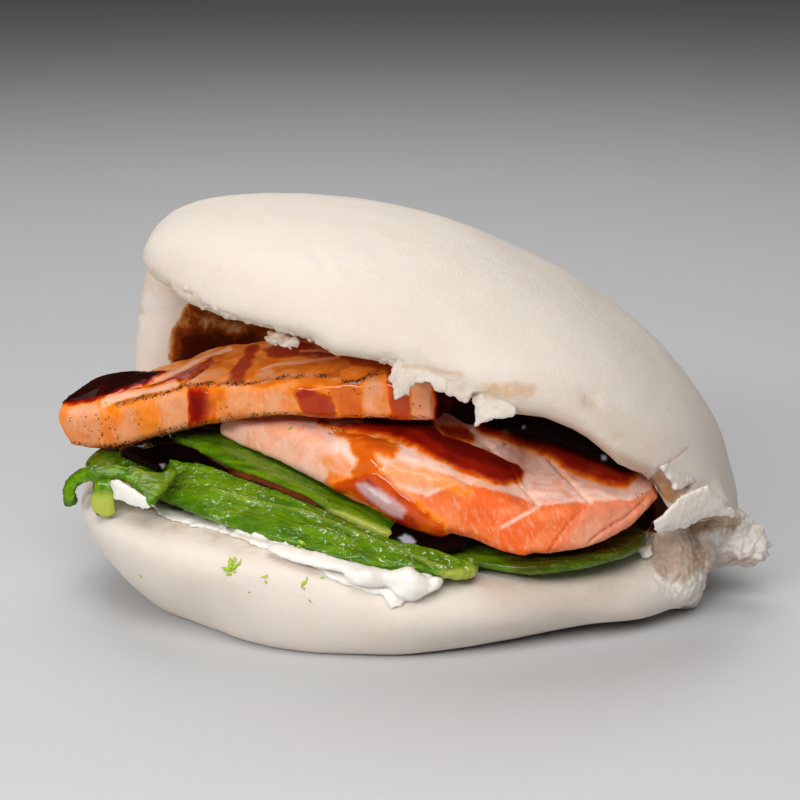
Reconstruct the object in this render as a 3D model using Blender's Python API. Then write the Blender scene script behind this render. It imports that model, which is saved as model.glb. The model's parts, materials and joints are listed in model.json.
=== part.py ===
"""A filled bao bun: a steamed bun hinged at its back and torn at its right end, with two glazed
salmon slices, green slices and cream in its open mouth.

Metres, +Z up. +X runs to the right end, where the lid slopes down, and +Y to the hinge at the back.
The bun lies on its flat underside. The origin is at the bottom centre of the whole part's box.
"""

import math

import bmesh
import bpy
from mathutils import Matrix, Vector, noise

MM = 0.001
TOUCH_GAP = 0.4 * MM  # what pieces that lie on each other keep between them

# Bun base: a flat cushion, thick at its left end and thin at its right end.
BASE_CENTRE = Vector((-0.7, 1.0)) * MM
BASE_HALF_LENGTH = 51.4 * MM
BASE_HALF_DEPTH = 38.5 * MM
BASE_PLAN_POWER = 2.05  # 2 is an ellipse, and more squares the corners
BASE_HINGE_POWER = 3.0  # the same at the back left corner
BASE_YAW = math.radians(3.3)
BASE_LEFT_HEIGHT = 20.2 * MM
BASE_RIGHT_HEIGHT = 13.6 * MM
BASE_LEFT_EQUATOR = 0.82  # share of the height at which the side is widest
BASE_RIGHT_EQUATOR = 0.36
BASE_TOP_POWER = 0.44
BASE_TOP_DISH = 1.6 * MM  # how far the filling presses the middle down
BASE_UNDER_POWER = 1.55
BASE_UNDER_DROP = 2.0  # how far below its equator the underside would round off, uncut, as a share

# Bun lid: an arched dome, high at its left end.
LID_SLOPE = math.radians(23.6)
LID_CENTRE_U = -7.4 * MM
LID_CENTRE_Y = 2.5 * MM
LID_HALF_LENGTH = 53.2 * MM
LID_HALF_DEPTH = 37.0 * MM
LID_FRONT_POWER = 2.0
LID_HINGE_POWER = 3.8  # at the back left corner
LID_BACK_POWER = 2.7  # at the back right corner
LID_EQUATOR = 43.9 * MM  # along the lid's own up direction, at its middle
LID_LEFT_ARCH = 7.9 * MM  # how far each end of the dome bends down
LID_RIGHT_ARCH = 11.2 * MM
LID_CROWN = 13.7 * MM
LID_LEFT_CROWN_POWER = 0.80  # less than 1 is blunter than a ball
LID_RIGHT_CROWN_POWER = 0.98
LID_LEFT_BELLY = 7.0 * MM
LID_RIGHT_BELLY = 2.0 * MM
LID_BELLY_POWER = 0.6

# Hinge wall, swept round the back from the open left end to the torn right end.
WALL_START = math.radians(149)
WALL_END = math.radians(-24)
WALL_INSET = 0.86  # of the rims of base and lid
WALL_LEFT_REACH = 0.19  # how much further out its left end stands under the lid
WALL_HALF_THICKNESS = 6.6 * MM
WALL_FOOT = 7.0 * MM
WALL_BULGE = 1.6 * MM
WALL_STATIONS = 44
WALL_SIDES = 20

BODY_VOXEL = 1.0 * MM
BODY_SMOOTHING = 22
SKIN_VOXEL = 0.8 * MM
SKIN_SMOOTHING = 3
SKIN_TRIANGLES = 5200
UNDERSIDE_CUT = 0.35 * MM

# Torn crumb: centre and half sizes in millimetres, then turns in degrees about X, Y and Z.
CRUMB_LUMPS = (
    # the arm of crumb that sticks out at the right end
    ((47.0, -3.5, 9.2), (6.0, 4.5, 3.6), (0, 5, 0)),
    ((52.6, -4.0, 10.0), (4.8, 4.0, 3.4), (10, -10, 0)),
    ((56.2, -4.3, 9.0), (2.4, 3.2, 2.9), (0, 20, 20)),
    ((54.8, -4.2, 11.8), (2.3, 2.6, 2.0), (0, 0, 0)),
    # the torn face over the base's right end
    ((41.5, -13.5, 12.6), (3.6, 4.0, 4.4), (0, 0, 20)),
    ((45.2, -10.5, 10.0), (4.2, 4.5, 4.6), (0, 0, 0)),
    ((43.0, -14.0, 7.4), (4.4, 4.6, 4.2), (0, 0, 25)),
    ((45.8, -7.0, 4.4), (2.6, 5.5, 3.6), (0, 0, 0)),
    # ragged bits under the lid's front lip
    ((1.6, -31.4, 43.6), (3.0, 1.8, 2.6), (0, 30, 0)),
    ((-0.4, -31.4, 41.6), (1.6, 1.5, 2.0), (0, -10, 0)),
    ((7.0, -31.2, 43.2), (4.4, 1.8, 2.2), (0, 20, 0)),
    ((14.0, -31.0, 39.4), (2.6, 1.8, 2.8), (0, 30, 0)),
    ((12.5, -31.0, 37.7), (1.4, 1.3, 1.6), (0, 0, 0)),
    # thin skin that stands off over the tear
    ((44.3, -20.2, 20.2), (7.0, 1.8, 2.6), (-20, 28, 6)),
    ((49.2, -18.0, 20.6), (4.0, 1.7, 2.8), (-20, -8, 22)),
    ((40.6, -22.3, 24.0), (2.8, 1.6, 2.0), (-20, 10, 6)),
)
CRUMB_ROUGHNESS = 0.34
CRUMB_GRAIN = 2.4 * MM

# Salmon slices, from left to right: front bottom edge, thickness and width, in millimetres.
UPPER_SLICE = (
    ((-54.2, 1.9, 25.0), 6.8, 15.0),
    ((-47.5, -2.5, 25.0), 7.9, 18.0),
    ((-41.0, -6.0, 26.9), 7.6, 20.0),
    ((-33.0, -10.2, 29.8), 8.0, 21.5),
    ((-21.6, -16.0, 33.0), 6.6, 22.5),
    ((-10.7, -20.0, 34.0), 6.9, 22.5),
    ((-3.0, -21.8, 34.2), 7.5, 22.0),
    ((4.8, -23.5, 34.4), 6.6, 20.5),
)
UPPER_SLICE_BACK = Vector((0.36, 0.92, 0.13)).normalized()
LOWER_SLICE = (
    ((-28.5, -6.0, 28.0), 3.6, 20.0),
    ((-22.0, -12.0, 26.2), 6.0, 22.0),
    ((-15.4, -18.0, 24.4), 7.8, 24.0),
    ((-7.6, -24.0, 21.8), 10.0, 26.0),
    ((0.0, -28.0, 19.8), 10.9, 27.0),
    ((8.5, -30.3, 17.8), 10.2, 27.5),
    ((18.0, -31.5, 15.9), 8.6, 27.5),
    ((25.5, -31.0, 15.9), 8.5, 26.0),
    ((31.5, -28.5, 17.1), 7.2, 23.0),
    ((36.8, -24.2, 19.8), 4.4, 16.0),
    ((39.8, -20.6, 22.0), 1.8, 9.0),
)
LOWER_SLICE_BACK = Vector((0.10, 0.985, 0.10)).normalized()
SLICE_CORNER = 0.34  # power of the section: 1 is an ellipse, and less squares its corners
FLAKE_SPACING = 8.3 * MM
FLAKE_DEPTH = 0.7 * MM
FLAKE_WIDTH = 1.3 * MM

# Green slices, from left to right: near and far edge of the upper face, in millimetres.
FRONT_GREEN = (
    ((-43.6, -9.0, 21.6), (-41.8, -1.0, 24.0)),
    ((-38.6, -15.6, 21.4), (-36.5, -5.5, 25.4)),
    ((-30.5, -24.7, 21.2), (-30.0, -14.0, 26.2)),
    ((-22.6, -30.4, 20.4), (-22.2, -20.0, 25.2)),
    ((-14.9, -34.2, 19.0), (-14.6, -24.6, 23.5)),
    ((-7.4, -36.3, 17.6), (-7.2, -27.8, 21.1)),
    ((0.0, -37.1, 16.6), (-0.3, -30.0, 18.8)),
    ((6.0, -37.0, 15.8), (5.8, -31.0, 17.4)),
    ((12.2, -35.7, 15.2), (12.0, -31.2, 16.6)),
)
BACK_GREEN = (
    ((-38.0, -0.5, 28.0), (-34.0, 8.0, 28.3)),
    ((-31.5, -8.5, 27.4), (-25.5, 2.5, 28.4)),
    ((-23.0, -17.5, 25.9), (-16.0, -7.0, 26.5)),
    ((-15.3, -23.0, 24.1), (-8.0, -12.0, 24.0)),
    ((-7.5, -26.9, 21.6), (-1.5, -15.0, 21.4)),
    ((-0.3, -29.4, 19.0), (5.0, -17.0, 18.8)),
)
LOW_GREEN = (
    ((-3.0, -29.5, 18.0), (-2.0, -18.0, 18.0)),
    ((5.0, -30.6, 16.9), (6.0, -18.0, 17.0)),
    ((13.0, -31.2, 15.6), (13.5, -18.0, 15.6)),
    ((20.5, -32.2, 15.2), (20.0, -18.0, 15.2)),
    ((28.0, -29.6, 15.3), (26.0, -16.0, 15.2)),
    ((34.5, -24.8, 15.5), (31.0, -13.0, 15.4)),
    ((39.0, -18.8, 15.9), (35.5, -9.0, 15.8)),
)
LEFT_GREEN = (
    ((-51.0, -3.8, 23.7), (-47.5, 6.0, 24.2)),
    ((-45.0, -5.2, 24.2), (-42.0, 6.0, 24.6)),
    ((-39.0, -7.0, 25.8), (-36.0, 5.0, 26.4)),
)
GREEN_THICKNESS = 2.2
GREEN_CORNER = 0.6
# Loose ends of the left green: their middle lines, then half width and half thickness.
LEFT_STRAND = (
    (-44.5, -4.2, 23.0),
    (-47.6, -5.6, 22.9),
    (-50.0, -6.2, 22.0),
    (-52.0, -6.2, 20.6),
    (-52.6, -6.2, 18.8),
    (-52.3, -6.2, 16.6),
)
LEFT_STUB = (
    (-46.2, -4.5, 23.6),
    (-46.6, -9.0, 21.7),
    (-46.4, -12.4, 20.2),
    (-45.9, -15.4, 18.0),
)
STRAND_HALF_WIDTH = 1.2
STRAND_HALF_THICKNESS = 1.0
STUB_HALF_WIDTH = 1.8

# Cream: a dab at the left, and a bead with dollops over the front rim.
CREAM_BEAD = (
    (-20.0, -33.1),
    (-15.3, -34.9),
    (-8.0, -36.5),
    (-1.0, -37.0),
    (4.0, -36.8),
)
CREAM_HALF_WIDTH = 1.5 * MM
CREAM_HALF_HEIGHT = 0.8 * MM
CREAM_DOLLOPS = (
    ((-5.0, -37.2, 14.9), (3.6, 1.8, 1.7), (0, 12, 4)),
    ((1.2, -37.5, 13.8), (3.4, 1.9, 2.6), (0, 20, -4)),
    ((4.4, -37.0, 13.6), (2.2, 1.6, 1.3), (0, -20, -6)),
)
CREAM_DAB = (
    ((-43.4, -11.6, 20.9), (1.9, 1.6, 1.3), (0, 20, -35)),
    ((-41.2, -13.8, 20.3), (2.6, 1.4, 1.1), (0, 20, -42)),
)
CREAM_ROUGHNESS = 0.10


def clear_scene():
    for old in list(bpy.data.objects):
        bpy.data.objects.remove(old, do_unlink=True)


def new_object(name, mesh_builder):
    mesh = bpy.data.meshes.new(name)
    shape = bmesh.new()
    mesh_builder(shape)
    bmesh.ops.recalc_face_normals(shape, faces=shape.faces)
    shape.to_mesh(mesh)
    shape.free()
    made = bpy.data.objects.new(name, mesh)
    bpy.context.scene.collection.objects.link(made)
    return made


def signed_power(value, power):
    return math.copysign(abs(value) ** power, value)


def between(low, high, share):
    return low + (high - low) * share


def spline_point(points, share):
    """A point on a smooth curve through points, by Catmull and Rom's rule."""
    place = share * (len(points) - 1)
    first = min(int(place), len(points) - 2)
    t = place - first
    before = points[max(first - 1, 0)]
    start, end = points[first], points[first + 1]
    after = points[min(first + 2, len(points) - 1)]
    return 0.5 * (
        2 * start
        + (end - before) * t
        + (2 * before - 5 * start + 4 * end - after) * t * t
        + (3 * start - before - 3 * end + after) * t**3
    )


def skin_between(shape, rings):
    """Faces from ring to ring, and a fan over each end."""
    count = len(rings[0])
    for first, second in zip(rings, rings[1:]):
        for side in range(count):
            nxt = (side + 1) % count
            shape.faces.new((first[side], first[nxt], second[nxt], second[side]))
    for ring in (rings[0], rings[-1]):
        middle = shape.verts.new(sum((v.co for v in ring), Vector()) / count)
        for side in range(count):
            shape.faces.new((ring[side], ring[(side + 1) % count], middle))


def applied(obj):
    """Replaces the object's mesh by what its modifiers make of it."""
    graph = bpy.context.evaluated_depsgraph_get()
    graph.update()
    mesh = bpy.data.meshes.new_from_object(obj.evaluated_get(graph))
    obj.modifiers.clear()
    obj.data = mesh
    mesh.name = obj.name
    return obj


def joined(name, parts, voxel, smoothing):
    """One closed skin round all parts, softened."""
    bpy.ops.object.select_all(action="DESELECT")
    for part in parts:
        part.select_set(True)
    bpy.context.view_layer.objects.active = parts[0]
    bpy.ops.object.join()
    made = parts[0]
    made.name = name
    skin = made.modifiers.new("skin", "REMESH")
    skin.mode = "VOXEL"
    skin.voxel_size = voxel
    soften = made.modifiers.new("soften", "SMOOTH")
    soften.factor = 0.5
    soften.iterations = smoothing
    return applied(made)


def thinned(obj, triangles):
    """Keeps about this many triangles of the object's mesh."""
    held = sum(len(face.vertices) - 2 for face in obj.data.polygons)
    thin = obj.modifiers.new("thin", "DECIMATE")
    thin.ratio = min(triangles / held, 1.0)
    thin.use_collapse_triangulate = True
    return applied(obj)


def largest_piece(obj):
    """Keeps the connected piece with the most faces."""
    shape = bmesh.new()
    shape.from_mesh(obj.data)
    waiting = set(shape.verts)
    pieces = []
    while waiting:
        piece, edge_of_piece = set(), [waiting.pop()]
        while edge_of_piece:
            vert = edge_of_piece.pop()
            piece.add(vert)
            for edge in vert.link_edges:
                other = edge.other_vert(vert)
                if other in waiting:
                    waiting.remove(other)
                    edge_of_piece.append(other)
        pieces.append(piece)
    pieces.sort(key=len)
    for piece in pieces[:-1]:
        bmesh.ops.delete(shape, geom=list(piece), context="VERTS")
    shape.to_mesh(obj.data)
    shape.free()
    return obj


def cut_clear(obj, *neighbours):
    """Cuts the neighbours, each fattened by the touch gap, out of the object."""
    for neighbour in neighbours:
        cutter = neighbour.copy()
        cutter.data = neighbour.data.copy()
        bpy.context.scene.collection.objects.link(cutter)
        fatten = cutter.modifiers.new("fatten", "DISPLACE")
        fatten.strength = TOUCH_GAP
        fatten.mid_level = 0.0
        applied(cutter)
        cut = obj.modifiers.new("cut", "BOOLEAN")
        cut.operation = "DIFFERENCE"
        cut.solver = "EXACT"
        cut.object = cutter
        applied(obj)
        bpy.data.objects.remove(cutter, do_unlink=True)
    return largest_piece(obj)


# ---------------------------------------------------------------- bun


def mapped_sphere(shape, mapping, segments=64, rings=40):
    """A unit sphere whose points are moved by mapping."""
    bmesh.ops.create_uvsphere(shape, u_segments=segments, v_segments=rings, radius=1.0)
    for vert in shape.verts:
        vert.co = mapping(*vert.co)


def left_share(x):
    """How far the base is still as it is at its left end: 1 there, falling to 0 at the right end."""
    along = (x - BASE_CENTRE.x) / BASE_HALF_LENGTH
    return 0.5 - 0.5 * math.tanh(1.9 * along + 0.1)


def base_height_and_equator(x):
    share = left_share(x)
    height = between(BASE_RIGHT_HEIGHT, BASE_LEFT_HEIGHT, share)
    return height, height * between(BASE_RIGHT_EQUATOR, BASE_LEFT_EQUATOR, share)


def top_rise(height, equator, c):
    return equator + (height - equator) * c**BASE_TOP_POWER - BASE_TOP_DISH * c**4


def squared(a, b, power):
    """Moves a point of the unit disc outwards, so that the disc becomes a squarer shape."""
    rim = math.hypot(a, b)
    if rim < 1e-6:
        return a, b
    stretch = (abs(a / rim) ** power + abs(b / rim) ** power) ** (-1 / power)
    return a * stretch, b * stretch


def base_plan(a, b):
    power = BASE_HINGE_POWER if a < 0 < b else BASE_PLAN_POWER
    a, b = squared(a, b, power)
    flat = Vector((a * BASE_HALF_LENGTH, b * BASE_HALF_DEPTH))
    flat.rotate(Matrix.Rotation(BASE_YAW, 2))
    return flat + BASE_CENTRE


def base_point(a, b, c):
    x, y = base_plan(a, b)
    height, equator = base_height_and_equator(x)
    if c >= 0:
        z = top_rise(height, equator, c)
    else:
        z = equator - equator * BASE_UNDER_DROP * (-c) ** BASE_UNDER_POWER
    return Vector((x, y, max(z, 0.0)))


def base_top(x, y):
    """Height of the base's upper side over a point of the plan."""
    flat = Vector((x, y)) - BASE_CENTRE
    flat.rotate(Matrix.Rotation(-BASE_YAW, 2))
    a, b = abs(flat.x / BASE_HALF_LENGTH), abs(flat.y / BASE_HALF_DEPTH)
    out = (a**BASE_PLAN_POWER + b**BASE_PLAN_POWER) ** (1 / BASE_PLAN_POWER)
    height, equator = base_height_and_equator(x)
    if out >= 1:
        return equator
    return top_rise(height, equator, math.sqrt(1 - out * out))


def lid_arch(a):
    return LID_LEFT_ARCH * a**2 if a < 0 else LID_RIGHT_ARCH * a**3


def lid_point(a, b, c):
    share = 0.5 + 0.5 * a
    if c > 0:
        rise = LID_CROWN * c ** between(LID_LEFT_CROWN_POWER, LID_RIGHT_CROWN_POWER, share)
    else:
        rise = -between(LID_LEFT_BELLY, LID_RIGHT_BELLY, share) * (-c) ** LID_BELLY_POWER
    if b <= 0:
        a, b = squared(a, b, LID_FRONT_POWER)
    else:
        a, b = squared(a, b, between(LID_HINGE_POWER, LID_BACK_POWER, share))
    u = LID_CENTRE_U + LID_HALF_LENGTH * a
    w = LID_EQUATOR - lid_arch(a) + rise
    return Vector((
        u * math.cos(LID_SLOPE) + w * math.sin(LID_SLOPE),
        LID_CENTRE_Y + LID_HALF_DEPTH * b,
        w * math.cos(LID_SLOPE) - u * math.sin(LID_SLOPE),
    ))


def build_wall(shape):
    """An upright rounded wall round the back, from inside the base up into the lid."""
    rings = []
    for station in range(WALL_STATIONS):
        share = station / (WALL_STATIONS - 1)
        turn = between(WALL_START, WALL_END, share)
        out = Vector((math.cos(turn), math.sin(turn)))
        low = base_plan(*out * WALL_INSET)
        reach = WALL_INSET + WALL_LEFT_REACH * max(-out.x, 0)
        high = lid_point(out.x * reach, out.y * WALL_INSET, 0.0)
        top = high.z + 1.5 * MM
        foot = min(WALL_FOOT, top - 4 * MM)
        blunt = math.sqrt(min(min(share, 1 - share) / 0.05 + 0.2, 1))
        ring = []
        for side in range(WALL_SIDES):
            angle = 2 * math.pi * side / WALL_SIDES
            rise = 0.5 + 0.5 * signed_power(math.sin(angle), 0.7)
            across = signed_power(math.cos(angle), 0.8) * WALL_HALF_THICKNESS * blunt
            bulge = WALL_BULGE * math.sin(math.pi * rise)
            spot = low.lerp(high.xy, rise) + out * (across + bulge)
            ring.append(shape.verts.new((spot.x, spot.y, between(foot, top, rise))))
        rings.append(ring)
    skin_between(shape, rings)


def build_lump(shape, centre, half_sizes, turn, roughness):
    """A ball of soft matter, roughened by a fixed noise."""
    bmesh.ops.create_icosphere(shape, subdivisions=3, radius=1.0)
    turned = Matrix.Identity(3)
    for degrees, axis in zip(turn, "XYZ"):
        turned = Matrix.Rotation(math.radians(degrees), 3, axis) @ turned
    for vert in shape.verts:
        reach = Vector([part * size * MM for part, size in zip(vert.co, half_sizes)])
        spot = Vector(centre) * MM + turned @ reach
        bump = noise.fractal(spot / CRUMB_GRAIN, 1.0, 2.0, 3)
        vert.co = Vector(centre) * MM + turned @ (reach * (1 + roughness * bump))


def flattened(obj):
    """Cuts the underside level, so that it lies on one flat face."""
    shape = bmesh.new()
    shape.from_mesh(obj.data)
    level = min(vert.co.z for vert in shape.verts) + UNDERSIDE_CUT
    cut = bmesh.ops.bisect_plane(
        shape,
        geom=shape.verts[:] + shape.edges[:] + shape.faces[:],
        dist=1e-7,
        plane_co=(0, 0, level),
        plane_no=(0, 0, 1),
        clear_inner=True,
    )
    rim = [item for item in cut["geom_cut"] if isinstance(item, bmesh.types.BMEdge)]
    for edge in rim:
        for vert in edge.verts:
            vert.co.z = level
    bmesh.ops.contextual_create(shape, geom=rim)
    bmesh.ops.triangulate(shape, faces=[face for face in shape.faces if len(face.verts) > 3])
    bmesh.ops.recalc_face_normals(shape, faces=shape.faces)
    shape.to_mesh(obj.data)
    shape.free()
    return obj


def build_bun():
    lumps = [
        new_object("base_lump", lambda shape: mapped_sphere(shape, base_point)),
        new_object("lid_lump", lambda shape: mapped_sphere(shape, lid_point)),
        new_object("wall_lump", build_wall),
    ]
    parts = [joined("body", lumps, BODY_VOXEL, BODY_SMOOTHING)]
    for lump in CRUMB_LUMPS:
        parts.append(
            new_object("crumb_lump", lambda shape: build_lump(shape, *lump, CRUMB_ROUGHNESS))
        )
    bun = joined("bun", parts, SKIN_VOXEL, SKIN_SMOOTHING)
    return flattened(thinned(bun, SKIN_TRIANGLES))


# ---------------------------------------------------------------- filling


def build_slab(shape, stations, steps, sides, corner, round_ends=0.0, relief=None):
    """A slab through stations of (centre, half width, half thickness) vectors in millimetres.

    corner is the section's power: 1 is an ellipse, and less than 1 squares its corners.
    round_ends is the share of the length over which each end rounds off.
    relief moves each point, given its angle, the point and the way up.
    """
    rows = [[Vector(item) * MM for item in column] for column in zip(*stations)]
    rings = []
    for step in range(steps + 1):
        share = step / steps
        if round_ends:
            share = 0.5 - 0.5 * math.cos(math.pi * share)
        centre, wide, thick = (spline_point(row, share) for row in rows)
        near_end = min(share, 1 - share)
        if round_ends and near_end < round_ends:
            shrink = math.sqrt(max(1 - (1 - near_end / round_ends) ** 2, 0.06))
            wide, thick = wide * shrink, thick * shrink
        ring = []
        for side in range(sides):
            angle = 2 * math.pi * (side + 0.5) / sides
            point = (
                centre
                + wide * signed_power(math.cos(angle), corner)
                + thick * signed_power(math.sin(angle), corner)
            )
            if relief:
                point = relief(angle, point, thick.normalized())
            ring.append(shape.verts.new(point))
        rings.append(ring)
    skin_between(shape, rings)


def slice_stations(sizes, back):
    """Slab stations of a slice from its front bottom edge."""
    for index, (front, thickness, width) in enumerate(sizes):
        before = Vector(sizes[max(index - 1, 0)][0])
        after = Vector(sizes[min(index + 1, len(sizes) - 1)][0])
        thick = (after - before).cross(back).normalized() * thickness / 2
        wide = -back * width / 2
        yield Vector(front) - wide + thick, wide, thick


def flaked(turn):
    """Relief of a slice's top: grooves between its flakes, turned by turn about Z."""
    across = Vector((math.cos(turn), math.sin(turn), 0.0))

    def relief(angle, point, up):
        if math.sin(angle) <= 0:
            return point
        place = point.dot(across) / FLAKE_SPACING
        off = (place - round(place)) * FLAKE_SPACING
        groove = math.exp(-((off / FLAKE_WIDTH) ** 2))
        return point - up * FLAKE_DEPTH * groove * math.sin(angle) ** 0.5

    return relief


def build_slice(name, sizes, back, turn):
    stations = list(slice_stations(sizes, back))
    return new_object(
        name,
        lambda shape: build_slab(shape, stations, 34, 16, SLICE_CORNER, relief=flaked(turn)),
    )


def resting_on_base(angle, point, up):
    """Keeps a point off the base's upper side."""
    point.z = max(point.z, base_top(point.x, point.y) + 1.4 * TOUCH_GAP)
    return point


def green_stations(edges):
    for index, (near, far) in enumerate(edges):
        before = Vector(edges[max(index - 1, 0)][0])
        after = Vector(edges[min(index + 1, len(edges) - 1)][0])
        near, far = Vector(near), Vector(far)
        thick = (after - before).cross(far - near).normalized() * GREEN_THICKNESS / 2
        yield (near + far) / 2 - thick, (near - far) / 2, thick


def build_green(name, edges, steps=22, sides=10):
    """A slice whose upper face runs between the two edges."""
    stations = list(green_stations(edges))
    return new_object(
        name,
        lambda shape: build_slab(
            shape, stations, steps, sides, GREEN_CORNER, round_ends=0.06, relief=resting_on_base
        ),
    )


def build_strand(shape, points, half_width, wide_way, steps=14, sides=8):
    """A loose strand along points, as wide as half_width along wide_way."""
    stations = []
    for index, point in enumerate(points):
        before = Vector(points[max(index - 1, 0)])
        after = Vector(points[min(index + 1, len(points) - 1)])
        ahead = (after - before).normalized()
        thick = ahead.cross(Vector(wide_way)).normalized()
        wide = thick.cross(ahead).normalized()
        stations.append((point, wide * half_width, thick * STRAND_HALF_THICKNESS))
    build_slab(shape, stations, steps, sides, 0.8)


def build_left_green():
    """The left green slice with its loose ends."""
    parts = [
        build_green("left_layer", LEFT_GREEN, steps=16),
        new_object(
            "left_strand",
            lambda shape: build_strand(shape, LEFT_STRAND, STRAND_HALF_WIDTH, (0.3, 0, 1)),
        ),
        new_object(
            "left_stub",
            lambda shape: build_strand(shape, LEFT_STUB, STUB_HALF_WIDTH, (1, 0, 0)),
        ),
    ]
    green = joined("green_left", parts, 0.35 * MM, 2)
    return thinned(green, 900)


def cream_bead(shape):
    """A bead that lies on the base's rim."""
    rise = CREAM_HALF_HEIGHT + 1.5 * TOUCH_GAP
    stations = []
    for index, (x, y) in enumerate(CREAM_BEAD):
        before = Vector(CREAM_BEAD[max(index - 1, 0)])
        after = Vector(CREAM_BEAD[min(index + 1, len(CREAM_BEAD) - 1)])
        ahead = (after - before).normalized()
        out = Vector((ahead.y, -ahead.x, 0.0))
        inner = Vector((x, y)) * MM - out.xy * CREAM_HALF_WIDTH
        z = (base_top(inner.x, inner.y) + rise) / MM
        wide = (out - Vector((0, 0, 0.35))) * CREAM_HALF_WIDTH / MM
        thick = Vector((0, 0, CREAM_HALF_HEIGHT / MM))
        stations.append(((x, y, z), wide, thick))
    build_slab(shape, stations, 20, 10, 0.8, round_ends=0.3)


def build_cream(name, lumps, triangles, bead=None):
    parts = [new_object("cream_bead", bead)] if bead else []
    for lump in lumps:
        parts.append(
            new_object("cream_lump", lambda shape: build_lump(shape, *lump, CREAM_ROUGHNESS))
        )
    return thinned(joined(name, parts, 0.4 * MM, 2), triangles)


def finish(obj, colour, roughness):
    """Gives the object its own material."""
    material = bpy.data.materials.new(obj.name)
    material.use_nodes = True
    surface = material.node_tree.nodes["Principled BSDF"]
    surface.inputs["Base Color"].default_value = (*colour, 1.0)
    surface.inputs["Roughness"].default_value = roughness
    obj.data.materials.clear()
    obj.data.materials.append(material)


def centre_all(objects):
    """Moves everything so that the origin is at the bottom centre of its box; returns the move."""
    points = [vert.co for obj in objects for vert in obj.data.vertices]
    low = Vector([min(point[axis] for point in points) for axis in range(3)])
    high = Vector([max(point[axis] for point in points) for axis in range(3)])
    move = -Vector(((low.x + high.x) / 2, (low.y + high.y) / 2, low.z))
    for obj in objects:
        obj.data.transform(Matrix.Translation(move))
    return move


clear_scene()
bun = build_bun()
salmon_upper = build_slice("salmon_upper", UPPER_SLICE, UPPER_SLICE_BACK, math.radians(-35))
salmon_lower = build_slice("salmon_lower", LOWER_SLICE, LOWER_SLICE_BACK, math.radians(18))
green_front = build_green("green_front", FRONT_GREEN)
green_back = build_green("green_back", BACK_GREEN)
green_low = build_green("green_low", LOW_GREEN)
green_left = build_left_green()
cream_front = build_cream("cream_front", CREAM_DOLLOPS, 900, cream_bead)
cream_left = build_cream("cream_left", CREAM_DAB, 300)

# Softer pieces give way to firmer ones.
cut_clear(salmon_lower, salmon_upper)
cut_clear(green_back, salmon_upper, salmon_lower)
cut_clear(green_front, salmon_lower, green_back)
cut_clear(green_low, salmon_lower, green_front, green_back)
cut_clear(green_left, salmon_upper, green_front, green_back)
cut_clear(bun, salmon_upper, salmon_lower, green_left)
cut_clear(cream_front, bun, green_front, green_low)
cut_clear(cream_left, bun, green_front, green_left)

salmon = (salmon_upper, salmon_lower)
greens = (green_front, green_back, green_low, green_left)
everything = (bun, *salmon, *greens, cream_front, cream_left)
shift = centre_all(everything)
finish(bun, (0.86, 0.80, 0.70), 0.6)
finish(salmon_upper, (0.80, 0.33, 0.12), 0.3)
finish(salmon_lower, (0.86, 0.38, 0.24), 0.4)
finish(green_front, (0.10, 0.30, 0.03), 0.3)
finish(green_back, (0.14, 0.36, 0.04), 0.3)
finish(green_low, (0.08, 0.24, 0.03), 0.3)
finish(green_left, (0.16, 0.38, 0.05), 0.3)
finish(cream_front, (0.90, 0.89, 0.86), 0.35)
finish(cream_left, (0.90, 0.89, 0.86), 0.35)
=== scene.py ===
"""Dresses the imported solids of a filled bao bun: dough, salmon, greens, cream and sauce.

Every piece starts from its solid or is modelled in place, in metres, in the solids' own frame.
Places, widths and soft edges on the drawing are in its own units, 800 to a side. Heights and
grains are in millimetres.
"""

import json
import logging
import math
from contextlib import contextmanager
from dataclasses import dataclass, field
from enum import Enum
from typing import Any, Iterator, Sequence

import bpy
import numpy as np
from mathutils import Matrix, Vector
from mathutils.bvhtree import BVHTree

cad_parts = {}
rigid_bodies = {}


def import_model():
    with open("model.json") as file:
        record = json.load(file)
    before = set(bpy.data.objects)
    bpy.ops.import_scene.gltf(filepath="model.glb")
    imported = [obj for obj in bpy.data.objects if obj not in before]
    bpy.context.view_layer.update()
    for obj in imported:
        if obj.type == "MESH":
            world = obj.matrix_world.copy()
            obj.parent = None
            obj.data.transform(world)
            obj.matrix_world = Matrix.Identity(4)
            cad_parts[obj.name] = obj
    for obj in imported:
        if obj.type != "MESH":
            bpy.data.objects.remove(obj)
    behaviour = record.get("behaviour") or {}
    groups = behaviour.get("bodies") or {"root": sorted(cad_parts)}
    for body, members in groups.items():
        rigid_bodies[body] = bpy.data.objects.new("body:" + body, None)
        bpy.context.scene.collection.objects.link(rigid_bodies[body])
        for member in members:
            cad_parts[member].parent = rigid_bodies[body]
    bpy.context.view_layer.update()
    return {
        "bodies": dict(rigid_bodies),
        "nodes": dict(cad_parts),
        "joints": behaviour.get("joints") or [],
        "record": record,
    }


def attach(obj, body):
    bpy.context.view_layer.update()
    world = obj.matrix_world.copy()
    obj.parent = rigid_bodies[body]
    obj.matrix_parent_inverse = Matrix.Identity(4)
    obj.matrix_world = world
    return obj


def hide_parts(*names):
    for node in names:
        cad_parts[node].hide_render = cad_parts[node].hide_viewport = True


MM = 0.001
Piece, Socket, Material = bpy.types.Object, bpy.types.NodeSocket, bpy.types.Material
Array = np.ndarray
Triple = tuple[float, float, float]
Colour = Triple
Outline = Sequence[tuple[float, float]]
Outlines = Sequence[tuple[Outline, float]]  # each with its amount or its width

log = logging.getLogger("bao")


# ---- setting out


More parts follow.
